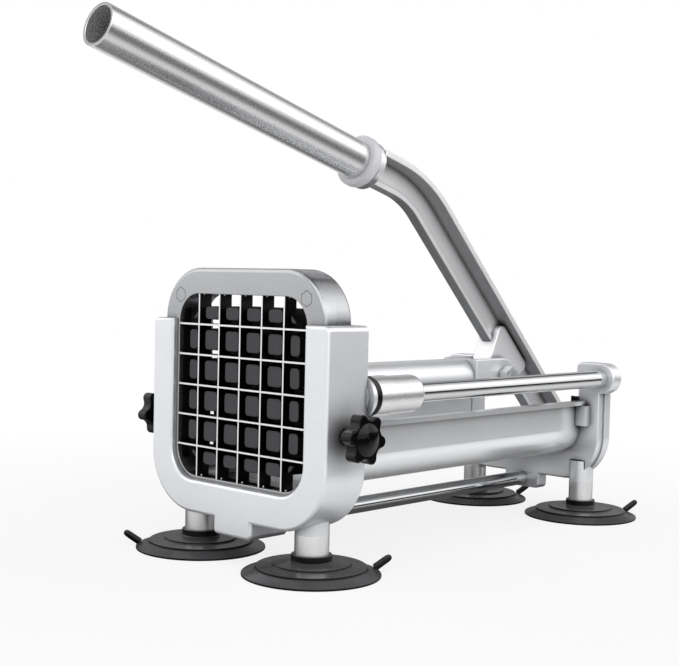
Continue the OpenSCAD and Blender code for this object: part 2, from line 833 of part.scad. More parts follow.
module pivot_bolt() {
    color(steel_grey) placed() {
        hex_x(pivot_hex_af, -pivot_half - bolt_head_t, -pivot_half, pivot.x, pivot.y);
        bar_x(pivot_d / 2, -pivot_half - cut, pivot_half + bolt_tail + cut, pivot.x, pivot.y);
    }
}

module pivot_nut() {
    color(steel_grey) placed() difference() {
        hex_x(pivot_hex_af, pivot_half, pivot_half + bolt_tail, pivot.x, pivot.y);
        bar_x(pivot_d / 2 + seat, pivot_half - cut, pivot_half + bolt_tail + cut, pivot.x, pivot.y);
    }
}

module pivot_washers() {
    color(steel_grey) placed() both_sides() difference() {
        bar_x(washer_d / 2, pivot_ear_out, pivot_half, pivot.x, pivot.y);
        bar_x(pivot_d / 2 + seat, pivot_ear_out - cut, pivot_half + cut, pivot.x, pivot.y);
    }
}

// Edges of the row of fingers with number i, measured from the middle of the opening
function finger_low(i) = i == 0 ? -pusher_half : -open_half + i * cell_pitch + finger_gap;
function finger_high(i) = i == cell_count - 1 ? pusher_half : -open_half + (i + 1) * cell_pitch - finger_gap;

// Outline of a box with round corners, as points that follow four quarter circles
function corner_point(c, r, a) = c + r * [cos(a), sin(a)];
function corner_points(c, r, a0) = [for (k = [0:corner_steps]) corner_point(c, r, a0 + k * corner_step_deg)];
function box_points(low, high, r) = concat(
    corner_points([high.x - r, high.y - r], r, 0), corner_points([low.x + r, high.y - r], r, 90),
    corner_points([low.x + r, low.y + r], r, 180), corner_points([high.x - r, low.y + r], r, 270));

// Black block of fingers that pushes the cut potato out between the blades
module finger_block() {
    color(black_plastic) placed() difference() {
        union() {
            deep(finger_face_y, plate_y + cut) translate([0, opening_h]) intersection() {
                for (i = [0:cell_count - 1], j = [0:cell_count - 1])
                    polygon(box_points([finger_low(i), finger_low(j)], [finger_high(i), finger_high(j)],
                                       finger_corner_r));
                round_rect(2 * pusher_half, 2 * pusher_half, pusher_corner_r);
            }
            deep(plate_y, crosshead_y) translate([0, opening_h])
                round_rect(2 * pusher_half, 2 * pusher_half, pusher_corner_r);
        }
        at_finger_screws() bar_y(finger_screw_d / 2 + seat, plate_y - cut, crosshead_y + cut, 0, 0);
    }
}

module at_finger_screws() {
    place = pusher_half * finger_screw_place_share;
    for (i = [-1, 1], j = [-1, 1]) translate([i * place, 0, opening_h + j * place]) children();
}

// Screws that hold the finger block on the crosshead
module finger_screws() {
    color(steel_grey) placed() at_finger_screws() {
        bar_y(finger_screw_d / 2, plate_y, crosshead_back_y + cut, 0, 0);
        bar_y(finger_head_d / 2, crosshead_back_y, crosshead_back_y + finger_head_t, 0, 0);
    }
}

// Crosshead: plate behind the fingers, arms to the sleeves and a clevis for the link
module crosshead() {
    color(cast_grey) placed() difference() {
        union() {
            deep(crosshead_y, crosshead_back_y) translate([0, opening_h])
                round_rect(2 * pusher_half, 2 * pusher_half, pusher_corner_r);
            both_sides() {
                translate([clevis_in, crosshead_back_y - cut, rod_z - arm_h / 2])
                    cube([rod_x - clevis_in, sleeve_y + sleeve_step - crosshead_back_y + cut, arm_h]);
                across(clevis_in, clevis_out) {
                    translate([hook_pin_y, rod_z]) circle(clevis_r);
                    translate([crosshead_back_y - cut, rod_z - clevis_r]) square([hook_pin_back + cut, 2 * clevis_r]);
                }
            }
        }
        both_sides() {
            bar_y(sleeve_d / 2 + sleeve_step_t + seat, plate_y, sleeve_back_y, rod_x, rod_z);
            translate([rod_x - sleeve_d / 2, plate_y, rod_z - arm_h])
                cube([sleeve_d, sleeve_y - plate_y, 2 * arm_h]);
            bar_x(hook_pin_d / 2 + seat, clevis_in - cut, clevis_out + cut, hook_pin_y, rod_z);
        }
        at_finger_screws() bar_y(finger_screw_d / 2 + seat, crosshead_y - cut, crosshead_back_y + cut, 0, 0);
    }
}

// Sleeve that slides on a guide rod, with a wider first section and a rounded rear end
module sleeve(side) {
    color(cast_grey) placed() translate([side * rod_x, sleeve_y, rod_z]) rotate([-90, 0, 0]) difference() {
        union() {
            cylinder(d = sleeve_d + 2 * sleeve_step_t, h = sleeve_step);
            cylinder(d = sleeve_d, h = sleeve_len - sleeve_round_r);
            rotate_extrude() {
                square([sleeve_d / 2 - sleeve_round_r, sleeve_len]);
                translate([sleeve_d / 2 - sleeve_round_r, sleeve_len - sleeve_round_r]) intersection() {
                    circle(sleeve_round_r);
                    square(sleeve_round_r);
                }
            }
        }
        translate([0, 0, -cut]) cylinder(d = bush_d + 2 * seat, h = sleeve_len + 2 * cut);
    }
}

module sleeve_left() {
    sleeve(-1);
}

module sleeve_right() {
    sleeve(1);
}

module guide_bushes() {
    color(brass_tone) placed() both_sides() difference() {
        bar_y(bush_d / 2, sleeve_y, sleeve_back_y, rod_x, rod_z);
        bar_y(rod_d / 2 + running, sleeve_y - cut, sleeve_back_y + cut, rod_x, rod_z);
    }
}

// Rubber ring that softens the stop at the front casting
module bumper(side) {
    color(black_rubber) placed() difference() {
        bar_y(sleeve_d / 2, bumper_y, sleeve_y, side * rod_x, rod_z);
        bar_y(rod_d / 2 + fit, bumper_y - cut, sleeve_y + cut, side * rod_x, rod_z);
    }
}

module bumper_left() {
    bumper(-1);
}

module bumper_right() {
    bumper(1);
}

module hook_pin() {
    reach = clevis_out + clip_t + fit;
    color(steel_grey) placed() bar_x(hook_pin_d / 2, -reach - clip_t, reach + clip_t, hook_pin_y, rod_z);
}

module hook_pin_clips() {
    color(steel_grey) placed() both_sides() difference() {
        bar_x(hook_pin_d / 2 + clip_rim, clevis_out, clevis_out + clip_t, hook_pin_y, rod_z);
        bar_x(hook_pin_d / 2 + seat, clevis_out - cut, clevis_out + clip_t + cut, hook_pin_y, rod_z);
    }
}

// Link: a round bar with a fork round the lever's lug and a hook over the crosshead's pin
module link_bar() {
    neck_y = hook_pin_y + hook_neck_len;
    fork_y = link_y - fork_gap_len;
    mouth_r = hook_pin_d / 2 + running;
    mouth_from = [hook_pin_y, rod_z] + mouth_r * [cos(mouth_lean_deg), sin(mouth_lean_deg)];
    color(cast_grey) placed() difference() {
        union() {
            difference() {
                union() {
                    bar_y(link_d / 2, neck_y, link_y - fork_r - fork_flat_len, 0, rod_z);
                    across(-fork_out, fork_out) {
                        translate([link_y, rod_z]) circle(fork_r);
                        translate([fork_y, rod_z - fork_r]) square([link_y - fork_y, 2 * fork_r]);
                    }
                }
                translate([-fork_in, fork_y + fork_flat_len, rod_z - link_d])
                    cube([2 * fork_in, fork_gap_len + link_d, 2 * link_d]);
            }
            across(-hook_t / 2, hook_t / 2) {
                translate([hook_pin_y, rod_z]) circle(hook_eye_r);
                translate([hook_pin_y, rod_z]) square([hook_neck_len + cut, hook_eye_r]);
                translate([hook_pin_y + hook_eye_r - cut, rod_z - hook_eye_r])
                    square([hook_neck_len - hook_eye_r + 2 * cut, 2 * hook_eye_r]);
            }
        }
        bar_x(hook_pin_d / 2 + running, -hook_t, hook_t, hook_pin_y, rod_z);
        across(-hook_t, hook_t) polygon([
            [hook_pin_y - mouth_r, rod_z], mouth_from,
            mouth_from + link_d * [sin(mouth_lean_deg), -cos(mouth_lean_deg)],
            [hook_pin_y - mouth_r - link_d * tan(mouth_back_lean_deg), rod_z - link_d]
        ]);
        bar_x(link_bolt_d / 2 + running, -fork_out - cut, fork_out + cut, link_y, rod_z);
    }
}

module link_bolt() {
    color(steel_grey) placed() {
        hex_x(link_hex_af, -fork_out - bolt_head_t, -fork_out, link_y, rod_z);
        bar_x(link_bolt_d / 2, -fork_out - cut, fork_out + bolt_tail + cut / 2, link_y, rod_z);
    }
}

module link_nut() {
    color(steel_grey) placed() difference() {
        hex_x(link_hex_af, fork_out, fork_out + bolt_tail, link_y, rod_z);
        bar_x(link_bolt_d / 2 + seat, fork_out - cut, fork_out + bolt_tail + cut, link_y, rod_z);
    }
}

// Points of the lever's bend for the line that lies at distance d behind the centre line
function bend_r(d) = bend_front_r + (bend_rear_r - bend_front_r) * (d + lever_half) / lever_depth;
function bend_corner(d) = bend + d * (lower_side + upper_side) / (1 + lower_side * upper_side);
function bend_centre(d) = bend_corner(d) - bend_r(d) / cos(bend_turn_deg / 2) * (lower_side + upper_side)
    / norm(lower_side + upper_side);
function bend_point(d, a) = bend_centre(d) + bend_r(d) * [sin(a), cos(a)];
function bend_points(d) = [for (i = [0:bend_steps])
    bend_point(d, lever_slope_deg - bend_turn_deg * i / bend_steps)];
function reversed(list) = [for (i = [len(list) - 1:-1:0]) list[i]];

// Side view of a strip of the lever between two distances from the centre line
module lever_strip(d0, d1, start) {
    polygon(concat(
        [pivot + start * lower_dir + d0 * lower_side], bend_points(d0), [flange_at + d0 * upper_side],
        [flange_at + d1 * upper_side], reversed(bend_points(d1)), [pivot + start * lower_dir + d1 * lower_side]
    ));
}

// Turned parts on the handle's axis start at a point of the lever's plane and run towards the tip
module on_handle_axis(from) {
    translate([0, from.x, from.y]) rotate([90 - handle_slope_deg, 0, 0]) children();
}

// Lever: a curved beam with a wide rear flange, a lug for the link and a threaded stub
module lever() {
    lug_foot = pivot + (norm(bend - pivot) - norm(bend - link_foot)) * lower_dir;
    color(cast_grey) placed() difference() {
        union() {
            across(-lever_web_t / 2, lever_web_t / 2) lever_strip(-lever_half, lever_half, web_start);
            across(-lever_rim_w / 2, lever_rim_w / 2)
                lever_strip(-lever_half, -lever_half + lever_rim_t, web_start);
            across(-lever_flange_w / 2, lever_flange_w / 2)
                lever_strip(lever_half - lever_flange_t, lever_half, rear_flange_start);
            across(-lug_w / 2, lug_w / 2) {
                translate(pivot) circle(knuckle_r);
                hull() {
                    translate(link_pin) circle(lug_r, $fn = 48);
                    translate(lug_foot - lug_root / 2 * lower_dir) circle(lever_half / 2, $fn = 32);
                    translate(lug_foot + lug_root / 2 * lower_dir) circle(lever_half / 2, $fn = 32);
                }
            }
            on_handle_axis(handle_from - cut * upper_dir) cylinder(d = flange_d, h = flange_t + cut);
            on_handle_axis(collar_at - cut * upper_dir)
                cylinder(r = stub_r - thread_depth, h = cut + collar_t + stub_len);
            on_handle_axis(collar_at) {
                for (i = [0:thread_turns]) translate([0, 0, collar_t + i * thread_pitch])
                    cylinder(r = stub_r, h = thread_pitch / 2);
            }
        }
        bar_x(pivot_bush_r + seat, -lug_w, lug_w, pivot.x, pivot.y);
        bar_x(link_bolt_d / 2 + seat, -lug_w, lug_w, link_y, rod_z);
    }
}
module pivot_bush() {
    color(brass_tone) placed() difference() {
        bar_x(pivot_bush_r, -lug_w / 2, lug_w / 2, pivot.x, pivot.y);
        bar_x(pivot_d / 2 + running, -lug_w, lug_w, pivot.x, pivot.y);
    }
}

module collar_ring() {
    color(pale_nylon) placed() on_handle_axis(collar_at) difference() {
        cylinder(d = collar_d, h = collar_t);
        translate([0, 0, -cut]) cylinder(r = stub_r + running, h = collar_t + 2 * cut);
    }
}

module handle_tube() {
    color(chrome_grey) placed() on_handle_axis(tube_at) difference() {
        cylinder(r = tube_r, h = tube_len);
        translate([0, 0, -cut]) cylinder(r = thread_bore_r, h = tube_len);
        translate([0, 0, thread_zone]) cylinder(r = tube_bore_r, h = tube_len);
    }
}

// Radius of the hollows between a knob's lobes, so that they run into the lobes smoothly
function valley_radius(lobe_r, lobe_at, low_r, turn) =
    (low_r * low_r + lobe_at * lobe_at - 2 * lobe_at * low_r * cos(turn) - lobe_r * lobe_r)
    / (2 * (lobe_r + lobe_at * cos(turn) - low_r));

// Where a lobe and a hollow meet, seen from the knob's centre
function lobe_end(lobe_r, lobe_at, valley_r, valley_at, turn) =
    [lobe_at, 0] + ([valley_at * cos(turn), valley_at * sin(turn)] - [lobe_at, 0])
    * lobe_r / (lobe_r + valley_r);

// Star knob with a hub towards the casting and a dome on its face
module knob(side) {
    back = frame_half + knob_standoff;
    lobe_r = knob_r * lobe_share;
    lobe_at = knob_r - lobe_r;
    half_step = 180 / knob_lobes;
    low_r = knob_r * valley_share;
    valley_r = valley_radius(lobe_r, lobe_at, low_r, half_step);
    core_r = norm(lobe_end(lobe_r, lobe_at, valley_r, low_r + valley_r, half_step));
    dome_r = knob_r * dome_share;
    ball_r = (dome_r * dome_r + knob_dome_h * knob_dome_h) / (2 * knob_dome_h);
    color(black_plastic) placed() translate([side * back, knob_y, knob_z]) rotate([0, side * 90, 0]) difference() {
        union() {
            linear_extrude(knob_t) {
                circle(core_r);
                for (i = [0:knob_lobes - 1]) rotate(knob_turn + i * 360 / knob_lobes)
                    translate([lobe_at, 0]) circle(lobe_r);
            }
            translate([0, 0, -knob_hub_len]) cylinder(r = knob_hub_r, h = knob_hub_len + cut);
            intersection() {
                translate([0, 0, knob_t + knob_dome_h - ball_r]) sphere(ball_r);
                translate([0, 0, knob_t - cut]) cylinder(r = dome_r, h = knob_dome_h + 2 * cut);
            }
        }
        for (i = [0:knob_lobes - 1]) rotate(knob_turn + half_step + i * 360 / knob_lobes)
            translate([low_r + valley_r, 0, -cut])
                cylinder(r = valley_r + knob_crease, h = knob_t + 2 * cut);
        translate([0, 0, -knob_hub_len - cut]) cylinder(r = stud_d / 2 + seat, h = knob_hub_len + knob_t / 2 + cut);
    }
}
module knob_left() {
    knob(-1);
}

module knob_right() {
    knob(1);
}

// Threaded stud that presses on the cassette's side
module knob_stud(side) {
    tip = cassette_half + fit / 2;
    root = frame_half + knob_standoff + knob_t / 2;
    color(steel_grey) placed() bar_x(stud_d / 2, side > 0 ? tip : -root, side > 0 ? root : -tip, knob_y, knob_z);
}

module knob_stud_left() {
    knob_stud(-1);
}

module knob_stud_right() {
    knob_stud(1);
}

front_frame();
rear_frame();
cassette_front();
cassette_rear();
cassette_bolts();
cassette_nuts();
blades_vertical();
blades_horizontal();
guide_rod_left();
guide_rod_right();
tie_rod();
rod_screws();
trough();
trough_pads();
front_posts();
rear_posts();
suction_cup_front_left();
suction_cup_front_right();
suction_cup_rear_left();
suction_cup_rear_right();
foot_screws();
pivot_bolt();
pivot_nut();
pivot_washers();
finger_block();
crosshead();
finger_screws();
sleeve_left();
sleeve_right();
guide_bushes();
bumper_left();
bumper_right();
hook_pin();
hook_pin_clips();
link_bar();
link_bolt();
link_nut();
lever();
pivot_bush();
collar_ring();
handle_tube();
knob_left();
knob_right();
knob_stud_left();
knob_stud_right();
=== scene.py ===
import json
import math
from collections import namedtuple

import bmesh
import bpy
from mathutils import Matrix, Vector


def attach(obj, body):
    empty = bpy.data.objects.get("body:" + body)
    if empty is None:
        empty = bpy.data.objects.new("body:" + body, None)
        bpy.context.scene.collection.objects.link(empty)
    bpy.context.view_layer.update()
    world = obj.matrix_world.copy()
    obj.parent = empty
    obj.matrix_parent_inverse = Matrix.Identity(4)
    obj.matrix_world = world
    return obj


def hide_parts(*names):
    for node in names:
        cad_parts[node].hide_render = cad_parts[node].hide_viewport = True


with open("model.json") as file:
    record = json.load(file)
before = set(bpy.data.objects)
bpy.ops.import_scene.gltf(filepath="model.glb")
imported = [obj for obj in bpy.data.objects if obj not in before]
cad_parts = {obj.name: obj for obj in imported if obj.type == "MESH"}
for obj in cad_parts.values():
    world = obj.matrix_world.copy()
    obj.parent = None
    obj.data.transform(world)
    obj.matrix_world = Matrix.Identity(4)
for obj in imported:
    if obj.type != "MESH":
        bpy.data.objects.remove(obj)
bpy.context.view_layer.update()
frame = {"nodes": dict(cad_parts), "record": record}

MM = 0.001
scene = bpy.context.scene
nodes = frame["nodes"]
record = frame["record"]

# Where each node rides and which slot it is painted from
body_of_node = {n: b for b, names in record["behaviour"]["bodies"].items() for n in names}
slot_of_node = {p["node"]: p["material_slot"] for p in record["subparts"]}
tone_of_slot = {m["slot"]: m["base_color"] for m in record["materials"]}
handle_axis = next(j["axis"] for j in record["behaviour"]["joints"] if j["name"] == "handle_turn")

# Places in the shared frame in millimetres: the cassette's front face and the middle of the blade grid.
# Every depth in this file is measured from that front face towards the rear
FRONT_Y = -91.7666
GRID_Z = 78.0

# Directions that a face of a piece at rest can look along
FORWARD = (0.0, -1.0, 0.0)
UPWARD = (0.0, 0.0, 1.0)
DOWN_AND_FORWARD = (0.0, -0.7, -0.7)

# Nearly all of a noise lies in the usual span; the narrow one gives a harder contrast
USUAL = (0.3, 0.7)
NARROW = (0.35, 0.65)

# Cosine between a face and the same place with a round edge: open face, and full edge
EDGE_COSINES = (0.97, 0.80)

# How much smoother a rubbed edge is
RUB_GLOSS = 0.1

# Numbers of a Mix node's colour sockets
MIX_A, MIX_B, MIX_RESULT = 6, 7, 2


# Node trees
def scaled(colour, share):
    return (colour[0] * share, colour[1] * share, colour[2] * share, 1.0)


def grey(level):
    return scaled((1.0, 1.0, 1.0), level)


class Graph:
    """Short calls for building a node tree."""

    def __init__(self, tree):
        self.tree = tree

    def put(self, socket, value):
        if isinstance(value, bpy.types.NodeSocket):
            self.tree.links.new(value, socket)
        else:
            socket.default_value = value

    def new(self, kind, inputs=None, **settings):
        """A node with its settings, and with values or links for its inputs by name or number."""
        node = self.tree.nodes.new("ShaderNode" + kind)
        for key, value in settings.items():
            setattr(node, key, value)
        for key, value in (inputs or {}).items():
            self.put(node.inputs[key], value)
        return node

    def math(self, operation, *values):
        return self.new("Math", dict(enumerate(values)), operation=operation).outputs[0]

    def dot(self, a, b):
        return self.new("VectorMath", {0: a, 1: b}, operation="DOT_PRODUCT").outputs["Value"]

    def span(self, value, ends, levels=(0.0, 1.0)):
        """A value between two ends turned into levels, and held level beyond the ends."""
        return self.new("MapRange", dict(enumerate((value, *ends, *levels)))).outputs[0]

    def mix(self, share, a, b):
        """A colour that is a at share 0 and b at share 1."""
        node = self.new("Mix", {0: share, MIX_A: a, MIX_B: b}, data_type="RGBA")
        return node.outputs[MIX_RESULT]

    def blend(self, share, a, b):
        """A shader that is a at share 0 and b at share 1."""
        return self.new("MixShader", {0: share, 1: a, 2: b}).outputs[0]


class Finish(Graph):
    """A material that is painted in shares of a slot's colour."""

    def __init__(self, name, slot):
        self.material = bpy.data.materials.new(name)
        self.material.use_nodes = True
        super().__init__(self.material.node_tree)
        self.shader = self.tree.nodes["Principled BSDF"]
        self.coord = self.new("TexCoord").outputs["Object"]
        self.colour = tone_of_slot[slot]

    def tone(self, share):
        return scaled(self.colour, share)

    def noise(self, scale, detail=2.0, rough=0.5, stretch=None):
        """Noise with so many features per metre, drawn out along an axis by a small stretch value."""
        vector = self.coord
        if stretch:
            vector = self.new("Mapping", {"Vector": vector, "Scale": stretch}).outputs["Vector"]
        inputs = {"Vector": vector, "Scale": scale, "Detail": detail, "Roughness": rough}
        return self.new("TexNoise", inputs).outputs["Fac"]

    def edges(self, radius):
        """Near 1 along convex and concave edges, 0 on open faces."""
        round_normal = self.new("Bevel", {"Radius": radius}, samples=4).outputs[0]
        plain_normal = self.new("NewGeometry").outputs["Normal"]
        return self.span(self.dot(round_normal, plain_normal), EDGE_COSINES)

    def facing(self, way):
        """How far a face looks along a direction of the piece at rest, -1 to 1."""
        return self.dot(self.new("TexCoord").outputs["Normal"], way)

    def openness(self, reach, ends):
        """Near 0 where other surfaces stand closer than the reach, 1 on open faces."""
        near = self.new("AmbientOcclusion", {"Distance": reach}, samples=6)
        return self.span(near.outputs["AO"], ends)

    def shaded(self, base, reach, ends=(0.25, 0.95), darkest=0.06):
        """The base colour with painted shade where other surfaces stand close."""
        return self.mix(self.openness(reach, ends), self.tone(darkest), base)

    def bump(self, height, distance):
        return self.new("Bump", {"Height": height, "Distance": distance}).outputs["Normal"]

    def painted(self, **inputs):
        """The material, with the shader's inputs set; a name has _ where the input's has a space."""
        for key, value in inputs.items():
            self.put(self.shader.inputs[key.replace("_", " ")], value)
        return self.material


# Finishes. Where they have these arguments, share scales the slot's colour, reach is how close other
# surfaces must stand for painted shade to darken it, in millimetres, and metal is how much of it
# mirrors
def cast_metal(slot, rough, grain_scale, grain_depth, share=1.0, reach=14.0, spread=0.05, metal=1.0,
               under=None):
    """Satin cast metal: fine grain, faint clouding, edges lightened partly as rubbed wear and partly as
    a painted highlight, and painted shade in hollows. Where under is given, faces that look down and
    forward are painted in that tone as shade, and those that look up and back in a plain tone, both
    painted light and shade by the way they face."""
    t = Finish(slot, slot)
    grain = t.noise(grain_scale, detail=3.0, rough=0.6)
    cloud = t.noise(scale=38.0, detail=3.0)
    rubbed_spots = t.span(t.noise(scale=260.0, detail=3.0), NARROW, levels=(0.3, 1.0))
    rub_and_highlight = t.math("MULTIPLY", t.edges(radius=0.9 * MM), rubbed_spots)
    base = t.mix(t.span(cloud, USUAL), t.tone(0.96 * share), t.tone(1.02 * share))
    base = t.mix(t.span(grain, NARROW, levels=(0.0, 0.5)), base, t.tone(1.08 * share))
    # Painted light and shade by the way a face looks: faces that look down and forward take the under
    # tone as shade, those that look up and back a plain tone
    if under is not None:
        lowered = t.facing(DOWN_AND_FORWARD)
        base = t.mix(t.span(lowered, (-0.6, -0.45), levels=(1.0, 0.0)), base, t.tone(0.8))
        base = t.mix(t.span(lowered, (0.45, 0.6)), base, t.tone(under))
    # Lighter edges: partly rubbed wear, partly a painted highlight
    base = t.mix(rub_and_highlight, base, t.tone(1.2 * share))
    # Painted shade where other surfaces stand close
    base = t.shaded(base, reach * MM)
    roughness = t.span(grain, USUAL, levels=(rough - spread, rough + spread))
    roughness = t.math("SUBTRACT", roughness, t.math("MULTIPLY", rub_and_highlight, RUB_GLOSS))
    return t.painted(
        Base_Color=base, Metallic=metal, Roughness=roughness,
        Normal=t.bump(grain, grain_depth),
    )


def outlined_metal(slot, share):
    """Flush bolt heads: the metal round them, with painted shade along their rims where the gap round
    each head lies.
    """
    t = Finish("bolt_heads", slot)
    grain = t.noise(scale=2400.0, detail=3.0, rough=0.6)
    # Painted shade in the gap round each head, almost black
    gap_shade = t.span(t.edges(radius=0.9 * MM), (0.01, 0.06))
    base = t.mix(grain, t.tone(0.97 * share), t.tone(1.03 * share))
    base = t.mix(gap_shade, base, t.tone(0.02))
    roughness = t.span(grain, USUAL, levels=(0.24, 0.3))
    return t.painted(
        Base_Color=base, Metallic=0.85, Roughness=roughness,
        Normal=t.bump(grain, distance=0.002 * MM),
    )


def turned_metal(slot, rough, share, metal):
    """Turned satin metal: soft smears, a very fine grain, and painted shade where other surfaces stand
    close.
    """
    t = Finish(slot, slot)
    smear = t.noise(scale=60.0)
    grain = t.noise(scale=2600.0)
    base = t.mix(t.span(smear, USUAL), t.tone(0.97 * share), t.tone(1.03 * share))
    base = t.shaded(base, 5.0 * MM, ends=(0.3, 0.8), darkest=0.2)
    roughness = t.span(smear, USUAL, levels=(rough + 0.02, rough - 0.02))
    return t.painted(
        Base_Color=base, Metallic=metal, Roughness=roughness,
        Normal=t.bump(grain, distance=0.0004 * MM),
    )


def sheet_metal(slot, rough, along, share, metal):
    """Sheet: very faint long lines along an axis, and painted shade under and behind other pieces."""
    t = Finish(slot, slot)
    stretch = [1.0, 1.0, 1.0]
    stretch[along] = 0.02
    lines = t.noise(scale=2400.0, rough=0.6, stretch=stretch)
    cloud = t.noise(scale=24.0)
    base = t.mix(t.span(lines, USUAL), t.tone(0.995 * share), t.tone(1.005 * share))
    base = t.shaded(base, 24.0 * MM, ends=(0.36, 0.74), darkest=0.02)
    line_roughness = t.span(lines, USUAL, levels=(rough - 0.01, rough + 0.01))
    roughness = t.math("ADD", line_roughness, t.span(cloud, USUAL, levels=(0.0, 0.02)))
    return t.painted(
        Base_Color=base, Metallic=metal, Roughness=roughness,
        Normal=t.bump(lines, distance=0.00005 * MM),
    )


def blade_metal(slot):
    """Ground strips: cutting edges that look forward painted bright as a highlight, and flanks painted
    dark as a reflection of the dark block behind them.
    """
    t = Finish(slot, slot)
    marks = t.noise(scale=3000.0)
    painted_dark_flank = t.mix(marks, t.tone(0.025), t.tone(0.05))
    edge = t.mix(marks, t.tone(0.95), t.tone(1.1))
    # Lit and shaded copies of one steel: a painted highlight on faces that look forward, a painted dark
    # reflection on the flanks
    base = t.mix(t.span(t.facing(FORWARD), (0.3, 0.6)), painted_dark_flank, edge)
    roughness = t.span(marks, USUAL, levels=(0.3, 0.4))
    return t.painted(
        Base_Color=base, Metallic=1.0, Roughness=roughness,
        Normal=t.bump(marks, distance=0.001 * MM),
    )


def chrome(slot, rough, share):
    """Polished bar: faint turning marks and a trace of haze."""
    t = Finish(slot, slot)
    haze = t.noise(scale=60.0, detail=3.0)
    marks = t.noise(scale=900.0)
    base = t.mix(haze, t.tone(0.97 * share), t.tone(1.03 * share))
    roughness = t.span(haze, USUAL, levels=(rough, rough + 0.04))
    return t.painted(
        Base_Color=base, Metallic=1.0, Roughness=roughness,
        Normal=t.bump(marks, distance=0.0003 * MM),
    )


def sparkle_chrome(slot):
    """Satin chrome over a grainy tube: small flecks, painted shade inside, and darker on the cut ends.
    """
    t = Finish(slot, slot)
    flecks = t.noise(scale=1700.0, rough=0.7)
    base = t.mix(t.span(flecks, NARROW), t.tone(0.9), t.tone(0.97))
    base = t.shaded(base, 9.0 * MM, ends=(0.2, 0.85), darkest=0.45)
    cut_end = t.span(t.math("ABSOLUTE", t.facing(handle_axis)), (0.85, 0.97))
    base = t.mix(cut_end, base, t.tone(0.3))
    roughness = t.span(flecks, NARROW, levels=(0.25, 0.28))
    return t.painted(
        Base_Color=base, Metallic=0.85, Roughness=roughness,
        Normal=t.bump(flecks, distance=0.0004 * MM),
    )


def plastic(slot, rough, grain_scale, grain_depth, coat, worn_and_highlight, share, specular, lit_top_share=None):
    """Moulded plastic: fine pebbling, slight changes of gloss, edges in a lighter tone that is partly
    wear and partly a painted highlight, and where a tone for the top is given, a painted lighter tone
    on the faces that look up."""
    t = Finish(slot, slot)
    grain = t.noise(grain_scale, rough=0.6)
    smear = t.noise(scale=90.0, detail=3.0)
    rubbed_spots = t.span(t.noise(scale=400.0, detail=3.0), (0.4, 0.7), levels=(0.0, 0.5))
    rub_and_highlight = t.math("MULTIPLY", t.edges(radius=0.5 * MM), rubbed_spots)
    base = t.mix(t.span(smear, USUAL), t.tone(0.85 * share), t.tone(1.15 * share))
    # Edges in a lighter tone: partly rubbed wear, partly a painted highlight
    base = t.mix(rub_and_highlight, base, t.tone(worn_and_highlight))
    # Painted light: a lighter tone on the faces that look up
    if lit_top_share is not None:
        base = t.mix(t.span(t.facing(UPWARD), (0.3, 0.9)), base, t.tone(lit_top_share))
    return t.painted(
        Base_Color=base, Roughness=t.span(smear, USUAL, levels=(rough - 0.03, rough + 0.04)),
        Normal=t.bump(grain, grain_depth), Specular_IOR_Level=specular, Coat_Weight=coat,
        Coat_Roughness=0.05,
    )


def finger_plastic(slot):
    """Moulded fingers: open ends that look forward painted matt grey as lit faces, and painted black
    and dull as shade between them.
    """
    t = Finish(slot, slot)
    grain = t.noise(scale=1700.0, rough=0.6)
    # Painted light on the open ends that look forward, painted shade on the rest
    forward = t.span(t.facing(FORWARD), (0.8, 0.97))
    end = t.math("MULTIPLY", forward, t.openness(9.0 * MM, ends=(0.45, 0.7)))
    painted_lit_pad = t.mix(grain, t.tone(1.1), t.tone(1.3))
    return t.painted(
        Base_Color=t.mix(end, t.tone(0.03), painted_lit_pad), Roughness=t.span(grain, USUAL, levels=(0.55, 0.65)),
        Normal=t.bump(grain, distance=0.006 * MM), Specular_IOR_Level=0.12,
    )


def pale_collar(slot):
    """Milky nylon: light passes into it a little."""
    t = Finish(slot, slot)
    cloud = t.noise(scale=160.0, detail=3.0)
    return t.painted(
        Base_Color=t.mix(cloud, t.tone(0.72), t.tone(0.8)),
        Roughness=t.span(cloud, USUAL, levels=(0.28, 0.4)),
        Normal=t.bump(t.noise(scale=900.0), distance=0.01 * MM),
        Subsurface_Weight=0.3, Subsurface_Radius=(2.0 * MM, 2.0 * MM, 2.0 * MM),
    )


